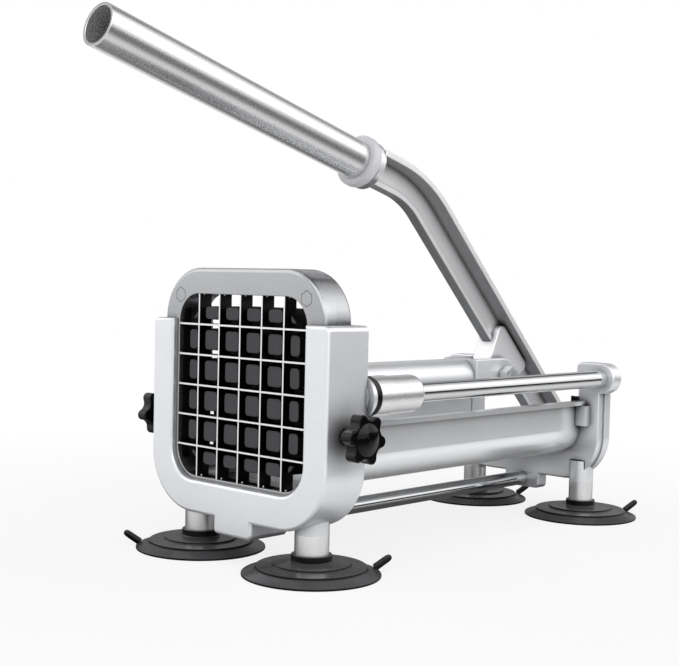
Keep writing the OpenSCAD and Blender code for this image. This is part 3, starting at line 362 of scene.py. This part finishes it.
finish = {
    "cast_metal": cast_metal(
        "cast_metal", rough=0.34, grain_scale=2200.0, grain_depth=0.004 * MM, share=1.14, metal=0.6,
    ),
    "cassette_metal": cast_metal(
        "cassette_metal", rough=0.24, grain_scale=2400.0, grain_depth=0.002 * MM, share=0.62,
        metal=0.85,
    ),
    "lever_metal": cast_metal(
        "lever_metal", rough=0.40, grain_scale=1600.0, grain_depth=0.007 * MM, share=1.32, reach=3.5,
        metal=0.6, under=0.42,
    ),
    "sleeve_metal": turned_metal("sleeve_metal", rough=0.28, share=1.1, metal=0.8),
    "sheet_steel": sheet_metal("sheet_steel", rough=0.22, along=1, share=1.28, metal=0.68),
    "blade_steel": blade_metal("blade_steel"),
    "rod_chrome": chrome("rod_chrome", rough=0.05, share=0.84),
    "handle_chrome": sparkle_chrome("handle_chrome"),
    "fastener_steel": cast_metal(
        "fastener_steel", rough=0.22, grain_scale=2600.0, grain_depth=0.0005 * MM, reach=0.9,
        spread=0.02,
    ),
    "bush_metal": cast_metal("bush_metal", rough=0.42, grain_scale=2600.0, grain_depth=0.006 * MM),
    "pusher_plastic": finger_plastic("pusher_plastic"),
    "knob_plastic": plastic(
        "knob_plastic", rough=0.10, grain_scale=500.0, grain_depth=0.0003 * MM, coat=0.06, worn_and_highlight=9.0,
        share=0.15, specular=0.22,
    ),
    "collar_plastic": pale_collar("collar_plastic"),
    "black_rubber": plastic(
        "black_rubber", rough=0.22, grain_scale=1100.0, grain_depth=0.001 * MM, coat=0.0, worn_and_highlight=1.2,
        share=0.1, specular=0.15, lit_top_share=1.7,
    ),
}


def dress(obj, slot):
    obj.data.materials.clear()
    obj.data.materials.append(finish[slot])


for name, obj in nodes.items():
    dress(obj, slot_of_node[name])
nodes["cassette_bolts"].data.materials[0] = outlined_metal("cassette_metal", share=0.6)


# Rounded edges
WELD = 0.002 * MM                       # points that lie closer are one point
LEVEL_COSINE = 0.9995                   # a face that looks straight along the machine
LEVEL_SLACK = 0.02                      # how far it may lie off its depth, in millimetres
RIM_STEPS = 4                           # flats across a rounded rim
RIM_SPARE = 0.08                        # how far a cutter stands out of the metal, in millimetres
SAME_PLANE_COSINE = 0.99999
SMOOTH_COSINE = math.cos(math.radians(38.0))  # faces that meet at a larger angle keep a crease
FLAT_RATIO = 4                          # a face this many times larger than its neighbours stays flat
SEAM_ANGLE = math.radians(0.4)          # a smaller bend between faces is no edge
SHARP_ANGLE = math.radians(28)          # a smaller bend isn't rounded

# A rim to round, in millimetres: which way along the machine it looks, its depth, the radius, and the
# least and most length of its longest side
TO_FRONT, TO_REAR, NO_LIMIT = -1, 1, 1000
Rim = namedtuple("Rim", "way depth radius least most", defaults=[NO_LIMIT])


def show_new(obj, node):
    """The new piece stands for a node and keeps its finish and body."""
    scene.collection.objects.link(obj)
    dress(obj, slot_of_node[node])
    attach(obj, body_of_node[node])
    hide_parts(node)


def clean_copy(node):
    """A node's mesh as a watertight bmesh."""
    bm = bmesh.new()
    bm.from_mesh(nodes[node].data)
    bmesh.ops.remove_doubles(bm, verts=bm.verts, dist=WELD)
    bm.normal_update()
    return bm


def rims(bm, normal, y):
    """Closed loops round the flat faces that look along a normal at a place on the long axis, each as
    a list of (point, inward miter)."""
    flat = [
        f for f in bm.faces
        if f.normal.dot(normal) > LEVEL_COSINE and abs(f.calc_center_median().y / MM - y) < LEVEL_SLACK
    ]
    members = set(flat)
    follow = {}
    for face in flat:
        for loop in face.loops:
            if sum(f in members for f in loop.edge.link_faces) != 1:
                continue
            start, end = loop.vert, loop.link_loop_next.vert
            follow[start.index] = (end.index, normal.cross((end.co - start.co).normalized()))
    point = {v.index: v.co.copy() for v in bm.verts}
    loops = []
    while follow:
        first = next(iter(follow))
        chain, at = [], first
        while at in follow:
            at_next, inward = follow.pop(at)
            chain.append((at, inward))
            at = at_next
        if at != first or len(chain) < 3:
            continue
        loops.append([
            (point[index], (inward + before) / (1 + inward.dot(before)))
            for (index, inward), (_, before) in zip(chain, chain[-1:] + chain[:-1])
        ])
    return loops


def longest_side(loop):
    """The longest side of a loop's box, in millimetres."""
    return max(max(p[i] for p, _ in loop) - min(p[i] for p, _ in loop) for i in range(3)) / MM


def rim_cutter(normal, loop, radius):
    """A ring that takes the sharp edge off a rim and leaves a round of that radius, in millimetres."""
    section = [(-RIM_SPARE, -RIM_SPARE), (radius, -RIM_SPARE)]
    for i in range(RIM_STEPS + 1):
        angle = math.pi / 2 * (1 - i / RIM_STEPS)
        section.append((radius * (1 - math.cos(angle)), radius * (1 - math.sin(angle))))
    section.append((-RIM_SPARE, radius))
    verts = [p + miter * (s * MM) - normal * (t * MM) for p, miter in loop for s, t in section]
    count, around = len(section), len(loop)
    faces = []
    for j in range(around):
        here, there = j * count, (j + 1) % around * count
        for k in range(count):
            after = (k + 1) % count
            faces.append((here + k, here + after, there + after, there + k))
    mesh = bpy.data.meshes.new("cutter")
    mesh.from_pydata(verts, [], faces)
    bm = bmesh.new()
    bm.from_mesh(mesh)
    bmesh.ops.recalc_face_normals(bm, faces=bm.faces)
    bm.to_mesh(mesh)
    bm.free()
    return mesh


def flat_groups(bm):
    """The number of the coplanar group that each face is in, and the groups' areas."""
    group_of, areas = {}, []
    for face in bm.faces:
        if face.index in group_of:
            continue
        number, area, stack = len(areas), 0.0, [face]
        group_of[face.index] = number
        while stack:
            at = stack.pop()
            area += at.calc_area()
            for edge in at.edges:
                for other in edge.link_faces:
                    if other.index in group_of or other.normal.dot(at.normal) <= SAME_PLANE_COSINE:
                        continue
                    group_of[other.index] = number
                    stack.append(other)
        areas.append(area)
    return group_of, areas


def finish_normals(mesh):
    """Smooth shading that leaves flat faces flat and runs round edges tangentially into them."""
    bm = bmesh.new()
    bm.from_mesh(mesh)
    bm.normal_update()
    group_of, areas = flat_groups(bm)
    largest_beside = [0.0] * len(areas)
    for edge in bm.edges:
        if len(edge.link_faces) != 2:
            continue
        a, b = edge.link_faces
        ga, gb = group_of[a.index], group_of[b.index]
        if ga != gb and a.normal.dot(b.normal) > SMOOTH_COSINE:
            largest_beside[ga] = max(largest_beside[ga], areas[gb])
            largest_beside[gb] = max(largest_beside[gb], areas[ga])
    flat = [area >= FLAT_RATIO * other for area, other in zip(areas, largest_beside)]
    normals = []
    for face in bm.faces:
        for vert in (loop.vert for loop in face.loops):
            if flat[group_of[face.index]]:
                normals.append(face.normal.copy())
                continue
            close = [f for f in vert.link_faces if f.normal.dot(face.normal) > SMOOTH_COSINE]
            level = [f for f in close if flat[group_of[f.index]]]
            total = Vector()
            for f in level or close:
                total += f.normal * (1.0 if level else f.calc_area())
            normals.append(total.normalized())
    bm.free()
    for polygon in mesh.polygons:
        polygon.use_smooth = True
    mesh.normals_split_custom_set(normals)


def helper(mesh):
    """An object that only carries modifiers or cuts another one."""
    obj = bpy.data.objects.new("helper", mesh)
    scene.collection.objects.link(obj)
    return obj


def helper_of(bm):
    """A helper with the shape of a bmesh, which it frees."""
    mesh = bpy.data.meshes.new("helper")
    bm.to_mesh(mesh)
    bm.free()
    return helper(mesh)


def show_result(obj, node):
    """Shows what a helper's modifiers make of it, in place of a node."""
    bpy.context.view_layer.update()
    made = bpy.data.meshes.new_from_object(obj.evaluated_get(bpy.context.evaluated_depsgraph_get()))
    made.name = node + "_soft"
    bpy.data.objects.remove(obj)
    finish_normals(made)
    show_new(bpy.data.objects.new(node + "_soft", made), node)


def soften(node, round_rims, overlaps=False):
    """A node with some rims rounded. overlaps is for a node whose own parts run into each other."""
    bm = clean_copy(node)
    tools = []
    for rim in round_rims:
        normal = Vector((0, rim.way, 0))
        for loop in rims(bm, normal, FRONT_Y + rim.depth):
            if rim.least <= longest_side(loop) <= rim.most:
                tools.append(helper(rim_cutter(normal, loop, rim.radius)))
    obj = helper_of(bm)
    for tool in tools:
        cut = obj.modifiers.new("Cut", "BOOLEAN")
        cut.operation = "DIFFERENCE"
        cut.solver = "EXACT"
        cut.use_self = overlaps
        cut.object = tool
    show_result(obj, node)
    for tool in tools:
        bpy.data.objects.remove(tool)


def rounded(node, radius, segments=3, chosen=None):
    """A node with its convex edges rounded to a radius in millimetres, or only those of them that
    chosen picks by their middle point."""
    bm = clean_copy(node)
    bmesh.ops.dissolve_limit(bm, angle_limit=SEAM_ANGLE, verts=bm.verts, edges=bm.edges)
    bm.normal_update()
    weight = bm.edges.layers.float.new("bevel_weight_edge")
    for edge in bm.edges:
        if len(edge.link_faces) != 2 or edge.calc_face_angle(0.0) < SHARP_ANGLE or not edge.is_convex:
            continue
        middle = (edge.verts[0].co + edge.verts[1].co) / 2 / MM
        edge[weight] = 1.0 if chosen is None or chosen(middle) else 0.0
    obj = helper_of(bm)
    bevel = obj.modifiers.new("Round", "BEVEL")
    bevel.limit_method = "WEIGHT"
    bevel.width = radius * MM
    bevel.segments = segments
    bevel.use_clamp_overlap = False
    show_result(obj, node)


# Camera, worked out from the photograph's straight lines: focal length and picture width in pixels,
# angles in degrees, and the point it looks at and the distance from there in millimetres
SENSOR_WIDTH = 36.0
PICTURE_WIDTH_PX = 679
FOCAL_PX = 1232.95
AZIMUTH, ELEVATION, ROLL = 43.408, 2.277, 1.2915
TARGET = Vector((60.85, FRONT_Y, GRID_Z + 27.81))
DISTANCE = 505.04


def make_camera():
    azimuth, elevation, roll = (math.radians(a) for a in (AZIMUTH, ELEVATION, ROLL))
    level = math.cos(elevation)
    back = Vector((math.sin(azimuth) * level, -math.cos(azimuth) * level, math.sin(elevation)))
    right = (-back).cross(Vector(UPWARD)).normalized()
    up = right.cross(-back)
    right, up = (
        math.cos(roll) * right + math.sin(roll) * up, math.cos(roll) * up - math.sin(roll) * right,
    )
    place = TARGET * MM + DISTANCE * MM * back
    data = bpy.data.cameras.new("camera")
    data.sensor_width = SENSOR_WIDTH
    data.lens = FOCAL_PX / PICTURE_WIDTH_PX * SENSOR_WIDTH
    data.clip_start, data.clip_end = 0.01, 100.0
    camera = bpy.data.objects.new("camera", data)
    camera.matrix_world = Matrix([*zip(right, up, back, place), (0, 0, 0, 1)])
    scene.collection.objects.link(camera)
    scene.camera = camera


make_camera()
scene.view_settings.view_transform = "Standard"

# Grey levels that polished metal shows, each list between its own two ends: over the floor from left to
# right in metres, and over the sky by the angle round the machine's long axis in degrees, 0 to the
# right and 90 overhead
# From -0.20 to 0.02 m the floor's levels are a painted shadow under the machine
FLOOR_STOPS = [
    (-0.60, 0.90), (-0.34, 0.80), (-0.20, 0.10), (0.02, 0.08), (0.06, 0.60), (0.12, 0.85), (0.19, 0.70),
    (0.26, 0.25), (0.34, 0.02),
]
FLOOR_ENDS = (-1.0, 1.0)
WORLD_STOPS = [
    (-10, 0.0), (6, 0.01), (11, 0.95), (24, 1.20), (46, 1.10), (62, 0.80), (76, 0.30), (86, 0.03),
    (108, 0.04), (122, 0.34), (146, 0.62), (160, 0.35), (180, 0.15),
]
WORLD_ENDS = (-180.0, 180.0)

# In front of the machine a plain level stands in for those lists. It gives way between two places along
# the machine in metres, and in the sky between two values of a direction's y
FLOOR_TURN, FLOOR_PLAIN = (-0.17, -0.11), 0.86
WORLD_TURN, WORLD_PLAIN = (-0.35, 0.05), 0.90

# The floor's half size and matt tone, the distances from its middle in metres between which its shadow
# fades for the camera, and the shares of plain white at those distances
FLOOR_HALF = 30.0
FLOOR_TONE = 0.86
SHADOW_ENDS, WHITE_SHARES = (0.20, 0.45), (0.80, 1.0)
ROOM_LEVEL = 0.55                       # the world's level for matt surfaces
LAMP_AIM = Vector((0, 0, 0.1))          # the machine's middle, in metres


def ray_kinds(g):
    """1 for the camera's own rays, and 1 for the rays that a surface mirrors or lets through."""
    path = g.new("LightPath")
    mirrored = g.math("MAXIMUM", path.outputs["Is Glossy Ray"], path.outputs["Is Transmission Ray"])
    return path.outputs["Is Camera Ray"], mirrored


def levels_along(g, value, ends, stops):
    """Grey levels along a value, from [(value, level)]."""
    low, high = ends
    ramp = g.new("ValToRGB", {0: g.span(value, ends)})
    marks = ramp.color_ramp.elements
    for mark, (at, level) in zip(marks, (stops[0], stops[-1])):
        mark.position = (at - low) / (high - low)
        mark.color = grey(level)
    for at, level in stops[1:-1]:
        marks.new((at - low) / (high - low)).color = grey(level)
    return ramp.outputs[0]


def make_floor():
    """White to the camera with a soft shadow; in reflections a glowing floor with a painted shadow
    under the machine, light beside it and dark again far to its right."""
    half = FLOOR_HALF
    mesh = bpy.data.meshes.new("floor")
    corners = [(-half, -half, 0), (half, -half, 0), (half, half, 0), (-half, half, 0)]
    mesh.from_pydata(corners, [], [(0, 1, 2, 3)])
    floor = bpy.data.objects.new("floor", mesh)
    scene.collection.objects.link(floor)
    material = bpy.data.materials.new("floor")
    material.use_nodes = True
    g = Graph(material.node_tree)
    g.tree.nodes.clear()
    coord = g.new("TexCoord").outputs["Object"]
    parts = g.new("SeparateXYZ", {0: coord})
    matt = g.new("BsdfDiffuse", {"Color": grey(FLOOR_TONE)}).outputs[0]
    white = g.new("Emission").outputs[0]
    away = g.new("VectorMath", {0: coord}, operation="LENGTH").outputs["Value"]
    seen = g.blend(g.span(away, SHADOW_ENDS, levels=WHITE_SHARES), matt, white)
    stripes = levels_along(g, parts.outputs["X"], FLOOR_ENDS, FLOOR_STOPS)
    # Painted shadow under the machine, as polished metal sees the floor
    mirrored_floor_tone = g.mix(g.span(parts.outputs["Y"], FLOOR_TURN), grey(FLOOR_PLAIN), stripes)
    mirrored_floor = g.new("Emission", {"Color": mirrored_floor_tone}).outputs[0]
    camera_ray, mirrored = ray_kinds(g)
    unseen = g.blend(mirrored, matt, mirrored_floor)
    g.new("OutputMaterial", {"Surface": g.blend(camera_ray, unseen, seen)})
    mesh.materials.append(material)


def make_world():
    """White to the camera, and in reflections soft boxes and gaps round the machine's long axis."""
    world = bpy.data.worlds.new("studio")
    scene.world = world
    world.use_nodes = True
    g = Graph(world.node_tree)
    g.tree.nodes.clear()
    parts = g.new("SeparateXYZ", {0: g.new("TexCoord").outputs["Generated"]})
    turn = g.math("DEGREES", g.math("ARCTAN2", parts.outputs["Z"], parts.outputs["X"]))
    boxes = levels_along(g, turn, WORLD_ENDS, WORLD_STOPS)
    room_tone = g.mix(g.span(parts.outputs["Y"], WORLD_TURN), grey(WORLD_PLAIN), boxes)
    room = g.new("Background", {"Color": room_tone}).outputs[0]
    white, dim = (
        g.new("Background", {"Color": grey(1.0), "Strength": level}).outputs[0]
        for level in (1.0, ROOM_LEVEL)
    )
    camera_ray, mirrored = ray_kinds(g)
    unseen = g.blend(mirrored, dim, room)
    g.new("OutputWorld", {"Surface": g.blend(camera_ray, unseen, white)})


def add_lamp(name, at, size, power):
    """A soft box with its place and size in metres and its power in watts."""
    data = bpy.data.lights.new(name, "AREA")
    data.shape = "RECTANGLE"
    data.size, data.size_y = size
    data.energy = power
    lamp = bpy.data.objects.new(name, data)
    lamp.location = at
    lamp.rotation_mode = "QUATERNION"
    lamp.rotation_quaternion = (LAMP_AIM - Vector(at)).to_track_quat("-Z", "Y")
    scene.collection.objects.link(lamp)


make_floor()
make_world()
add_lamp("key", at=(0.9, -1.1, 1.5), size=(2.0, 2.0), power=11.0)
add_lamp("fill", at=(-1.3, -0.7, 0.9), size=(1.6, 1.6), power=6.0)
add_lamp("rear", at=(0.7, 1.3, 1.2), size=(1.8, 1.2), power=4.0)
add_lamp("side", at=(1.5, 0.1, 0.6), size=(2.4, 1.4), power=9.0)


# Castings with their edges rounded as they leave the mould
FINGER_DEPTH = 1.6                      # where the fingers end at rest, in millimetres
DEPTH_SLACK = 0.1                       # how far their rims may lie off it


def on_finger_end(middle):
    """Only the rims of the fingers' ends are round."""
    return abs(middle.y - FRONT_Y - FINGER_DEPTH) < DEPTH_SLACK


soften("front_frame", [
    Rim(TO_FRONT, depth=-3, radius=1.6, least=60),
    Rim(TO_REAR, depth=21.7, radius=1.0, least=60),
    Rim(TO_REAR, depth=27.5, radius=0.8, least=15, most=22),
])
soften("cassette_front", [
    Rim(TO_FRONT, depth=0, radius=1.9, least=100),
    Rim(TO_FRONT, depth=0, radius=0.4, least=80, most=99),
])
soften("cassette_rear", [
    Rim(TO_REAR, depth=17, radius=1.9, least=100),
    Rim(TO_REAR, depth=17, radius=0.4, least=80, most=99),
])
soften("rear_frame", [
    Rim(TO_FRONT, depth=219.3, radius=0.9, least=60),
    Rim(TO_REAR, depth=227.9, radius=0.9, least=15),
    Rim(TO_REAR, depth=231.1, radius=0.9, least=60),
], overlaps=True)
rounded("finger_block", radius=0.7, segments=2, chosen=on_finger_end)
rounded("link_bar", radius=0.8)
rounded("lever", radius=0.6)
rounded("crosshead", radius=0.5)
rounded("collar_ring", radius=1.4, segments=4)
rounded("handle_tube", radius=0.35)


# Turned and moulded shapes
FILLET_STEPS = 3
FILLET_REACH = 0.45                     # how much of a side one corner may take
CUP_SIDES, TAB_SIDES, KNOB_SIDES, KNOB_STEPS = 96, 20, 180, 4


def circle(count):
    return [2 * math.pi * i / count for i in range(count)]


def quarter(steps):
    return [math.pi / 2 * k / steps for k in range(steps + 1)]


def filleted(points):
    """A closed outline with round corners, from [(r, z, radius)] in millimetres."""
    out = []
    for i, (r, z, radius) in enumerate(points):
        here = Vector((r, z))
        if not radius:
            out.append(here)
            continue
        before = Vector(points[i - 1][:2]) - here
        after = Vector(points[(i + 1) % len(points)][:2]) - here
        half = before.angle(after) / 2
        cut = min(radius / math.tan(half), FILLET_REACH * before.length, FILLET_REACH * after.length)
        centre = here + (before.normalized() + after.normalized()).normalized() * (cut / math.cos(half))
        start, end = (here + side.normalized() * cut - centre for side in (before, after))
        first = math.atan2(start.y, start.x)
        sweep = (math.atan2(end.y, end.x) - first + math.pi) % (2 * math.pi) - math.pi
        for k in range(FILLET_STEPS + 1):
            turn = first + sweep * k / FILLET_STEPS
            out.append(centre + Vector((math.cos(turn), math.sin(turn))) * start.length)
    return out


def add_skin(bm, rings, closed):
    """Rings of points joined into a skin. closed joins the last ring to the first; without it both
    ends are capped."""
    rows = [[bm.verts.new(p) for p in ring] for ring in rings]
    around = len(rows[0])
    for low, high in zip(rows, rows[1:] + rows[:1] if closed else rows[1:]):
        for i in range(around):
            j = (i + 1) % around
            bm.faces.new((low[i], low[j], high[j], high[i]))
    if not closed:
        bm.faces.new(rows[0][::-1])
        bm.faces.new(rows[-1])


def finished(bm, name):
    bmesh.ops.recalc_face_normals(bm, faces=bm.faces)
    mesh = bpy.data.meshes.new(name)
    bm.to_mesh(mesh)
    bm.free()
    finish_normals(mesh)
    return bpy.data.objects.new(name, mesh)


# Suction cups: where their posts stand, and the cup's own measures in millimetres. The pull tab leans
# up by TAB_LEAN degrees, and its rings are [(along, radius)] from its root
FOOT_X, FRONT_FOOT_DEPTH, REAR_FOOT_DEPTH = 36.8, 11.0, 223.9
FRONT_POST_D, REAR_POST_D = 15.2, 13.0
SKIRT_R, OUTER_STEP_R, INNER_STEP_R, SCREW_HOLE_R = 30.5, 24.4, 17.08, 2.52
SOCKET_Z, COLLAR_Z, HOLLOW_Z = 5.4, 9.2, 2.0
COLLAR_WALL, SOCKET_SLACK = 1.4, 0.02
TAB_LEAN, TAB_ROOT_R, TAB_ROOT_Z = 33, 28.9, 1.7
TAB_RINGS = [(0, 1.5), (0.4, 1.68), (6.6, 1.62), (7.6, 1.5), (8.4, 1.2), (8.85, 0.7), (8.98, 0.25)]


def cup(node, foot_x, foot_depth, post_d, tab_turn):
    """Suction cup: stepped skirt with a groove at the foot of each step, collar, hollow underside and
    a pull tab that points tab_turn degrees round from the right."""
    collar = post_d / 2 + COLLAR_WALL
    socket = post_d / 2 + SOCKET_SLACK
    outline = filleted([
        # Hollow underside
        (SCREW_HOLE_R, HOLLOW_Z, 0), (4.8, HOLLOW_Z, 0.3), (27.3, 0.9, 0.4), (28.9, 0.0, 0.2),
        # Skirt, and the groove and edge of the outer step
        (SKIRT_R, 0.0, 0.15), (SKIRT_R, 0.9, 0.35), (25.1, 2.95, 0.1), (24.75, 2.75, 0.1),
        (OUTER_STEP_R, 3.2, 0.05), (OUTER_STEP_R, 4.0, 0.25),
        # Groove and edge of the inner step
        (17.75, 4.6, 0.1), (17.4, 4.4, 0.1), (INNER_STEP_R, 4.8, 0.05), (INNER_STEP_R, 5.4, 0.25),
        # Collar and the socket for the post
        (collar + 0.5, 6.05, 0.1), (collar, 6.5, 0.3), (collar, COLLAR_Z, 0.4), (socket, COLLAR_Z, 0.1),
        (socket, SOCKET_Z, 0), (SCREW_HOLE_R, SOCKET_Z, 0),
    ])
    bm = bmesh.new()
    centre = Vector((foot_x, foot_depth + FRONT_Y, 0))
    turns = circle(CUP_SIDES)
    add_skin(bm, [
        [(centre + Vector((p.x * math.cos(a), p.x * math.sin(a), p.y))) * MM for a in turns]
        for p in outline
    ], closed=True)
    lean, tab_angle = math.radians(TAB_LEAN), math.radians(tab_turn)
    out = Vector((math.cos(tab_angle), math.sin(tab_angle), 0))
    way = out * math.cos(lean) + Vector((0, 0, math.sin(lean)))
    side = Vector(UPWARD).cross(out)
    rise = way.cross(side)
    root = centre + out * TAB_ROOT_R + Vector((0, 0, TAB_ROOT_Z))
    spokes = [side * math.cos(a) + rise * math.sin(a) for a in circle(TAB_SIDES)]
    add_skin(bm, [
        [(root + way * along + spoke * radius) * MM for spoke in spokes] for along, radius in TAB_RINGS
    ], closed=False)
    show_new(finished(bm, node + "_soft"), node)


# Star knobs: where the star's inner face is, beyond the front casting and the hub, and the knob's own
# measures in millimetres. STAR_TURN is in degrees, and the rings along the knob's axis are
# [(along, radius)]
KNOB_X = 57.4 + 7.2
KNOB_Y, KNOB_Z = 8.9 + FRONT_Y, 62.0
LOBES, TIP_R, LOBE_R, HOLLOW_LOW_R, STAR_TURN = 6, 11.1, 2.442, 8.214, 20.6
STAR_THICKNESS, STAR_ROUND = 5.6, 0.55
HUB_RINGS = [(-6.9, 3.05), (-6.9, 3.9), (-6.8, 4.12), (-6.6, 4.2), (-0.3, 4.2), (0, 4.5), (0, 6.6)]
RECESS_RINGS = [(STAR_THICKNESS, 6.95), (5.52, 6.8), (5.58, 6.6)]
DOME_R, DOME_RISE, DOME_SHARES = 6.6, 1.18, (0.9, 0.75, 0.55, 0.35, 0.15)


def star_radii(turns):
    """Radii of a star with round lobes that run smoothly into round hollows."""
    half = math.pi / LOBES
    lobe_at = TIP_R - LOBE_R
    low, across = HOLLOW_LOW_R, math.cos(half)
    hollow = (low ** 2 + lobe_at ** 2 - 2 * lobe_at * low * across - LOBE_R ** 2) / (
        2 * (LOBE_R + lobe_at * across - low))
    hollow_at = low + hollow
    hollow_centre = Vector((hollow_at * math.cos(half), hollow_at * math.sin(half)))
    meet = Vector((lobe_at, 0)).lerp(hollow_centre, LOBE_R / (LOBE_R + hollow))
    meet_angle = math.atan2(meet.y, meet.x)
    radii = []
    for turn in turns:
        a = abs((turn - math.radians(STAR_TURN) + half) % (2 * half) - half)
        b = half - a
        if a < meet_angle:
            chord = math.sqrt(LOBE_R ** 2 - (lobe_at * math.sin(a)) ** 2)
            radii.append(lobe_at * math.cos(a) + chord)
        else:
            chord = math.sqrt(hollow ** 2 - (hollow_at * math.sin(b)) ** 2)
            radii.append(hollow_at * math.cos(b) - chord)
    return radii


def knob(node, side):
    """Star knob: six lobes with smooth hollows, rounded rims, a domed face and a slim hub."""
    turns = circle(KNOB_SIDES)
    star = star_radii(turns)

    def plain(along, radius):
        return along, [radius] * len(turns)

    def lobed(along, inset):
        return along, [r - inset for r in star]

    rings = [plain(along, radius) for along, radius in HUB_RINGS]
    for a in quarter(KNOB_STEPS):
        rings.append(lobed(STAR_ROUND * (1 - math.cos(a)), STAR_ROUND * (1 - math.sin(a))))
    for a in quarter(KNOB_STEPS):
        along = STAR_THICKNESS - STAR_ROUND * (1 - math.sin(a))
        rings.append(lobed(along, STAR_ROUND * (1 - math.cos(a))))
    rings += [plain(along, radius) for along, radius in RECESS_RINGS]
    for share in DOME_SHARES:
        rings.append(plain(STAR_THICKNESS + DOME_RISE * (1 - share ** 2), DOME_R * share))
    bm = bmesh.new()
    skin = []
    for along, radii in rings:
        x = side * (KNOB_X + along)
        skin.append([
            Vector((x, KNOB_Y + r * math.sin(a), KNOB_Z - side * r * math.cos(a))) * MM
            for a, r in zip(turns, radii)
        ])
    add_skin(bm, skin, closed=False)
    show_new(finished(bm, node + "_soft"), node)


# Blades: their pitch, and how far their ends lie from the middle of the grid and behind the cassette's
# front face, in millimetres
BLADES, PITCH = 5, 14.0
UPRIGHT_END, UPRIGHT_DEPTH = 41.9, 2.9
LEVEL_END, LEVEL_DEPTH = 41.8, 1.0
STUD_R = 0.8


def blade_studs():
    """Small domed pins that hold the ends of the blades in the cassette."""
    bm = bmesh.new()
    spots = []
    for i in range(BLADES):
        at = PITCH * (i - (BLADES - 1) / 2)
        spots += [(at, UPRIGHT_DEPTH, -UPRIGHT_END), (at, UPRIGHT_DEPTH, UPRIGHT_END)]
        spots += [(-LEVEL_END, LEVEL_DEPTH, at), (LEVEL_END, LEVEL_DEPTH, at)]
    for x, depth, z in spots:
        place = Matrix.Translation(Vector((x, depth + FRONT_Y, z + GRID_Z)) * MM)
        bmesh.ops.create_icosphere(bm, subdivisions=2, radius=STUD_R * MM, matrix=place)
    studs = finished(bm, "blade_studs")
    scene.collection.objects.link(studs)
    studs.data.materials.append(finish["fastener_steel"])
    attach(studs, "frame")


cup("suction_cup_front_left", -FOOT_X, FRONT_FOOT_DEPTH, FRONT_POST_D, tab_turn=223)
cup("suction_cup_front_right", FOOT_X, FRONT_FOOT_DEPTH, FRONT_POST_D, tab_turn=60)
cup("suction_cup_rear_left", -FOOT_X, REAR_FOOT_DEPTH, REAR_POST_D, tab_turn=63)
cup("suction_cup_rear_right", FOOT_X, REAR_FOOT_DEPTH, REAR_POST_D, tab_turn=63)
knob("knob_left", side=-1)
knob("knob_right", side=1)
blade_studs()
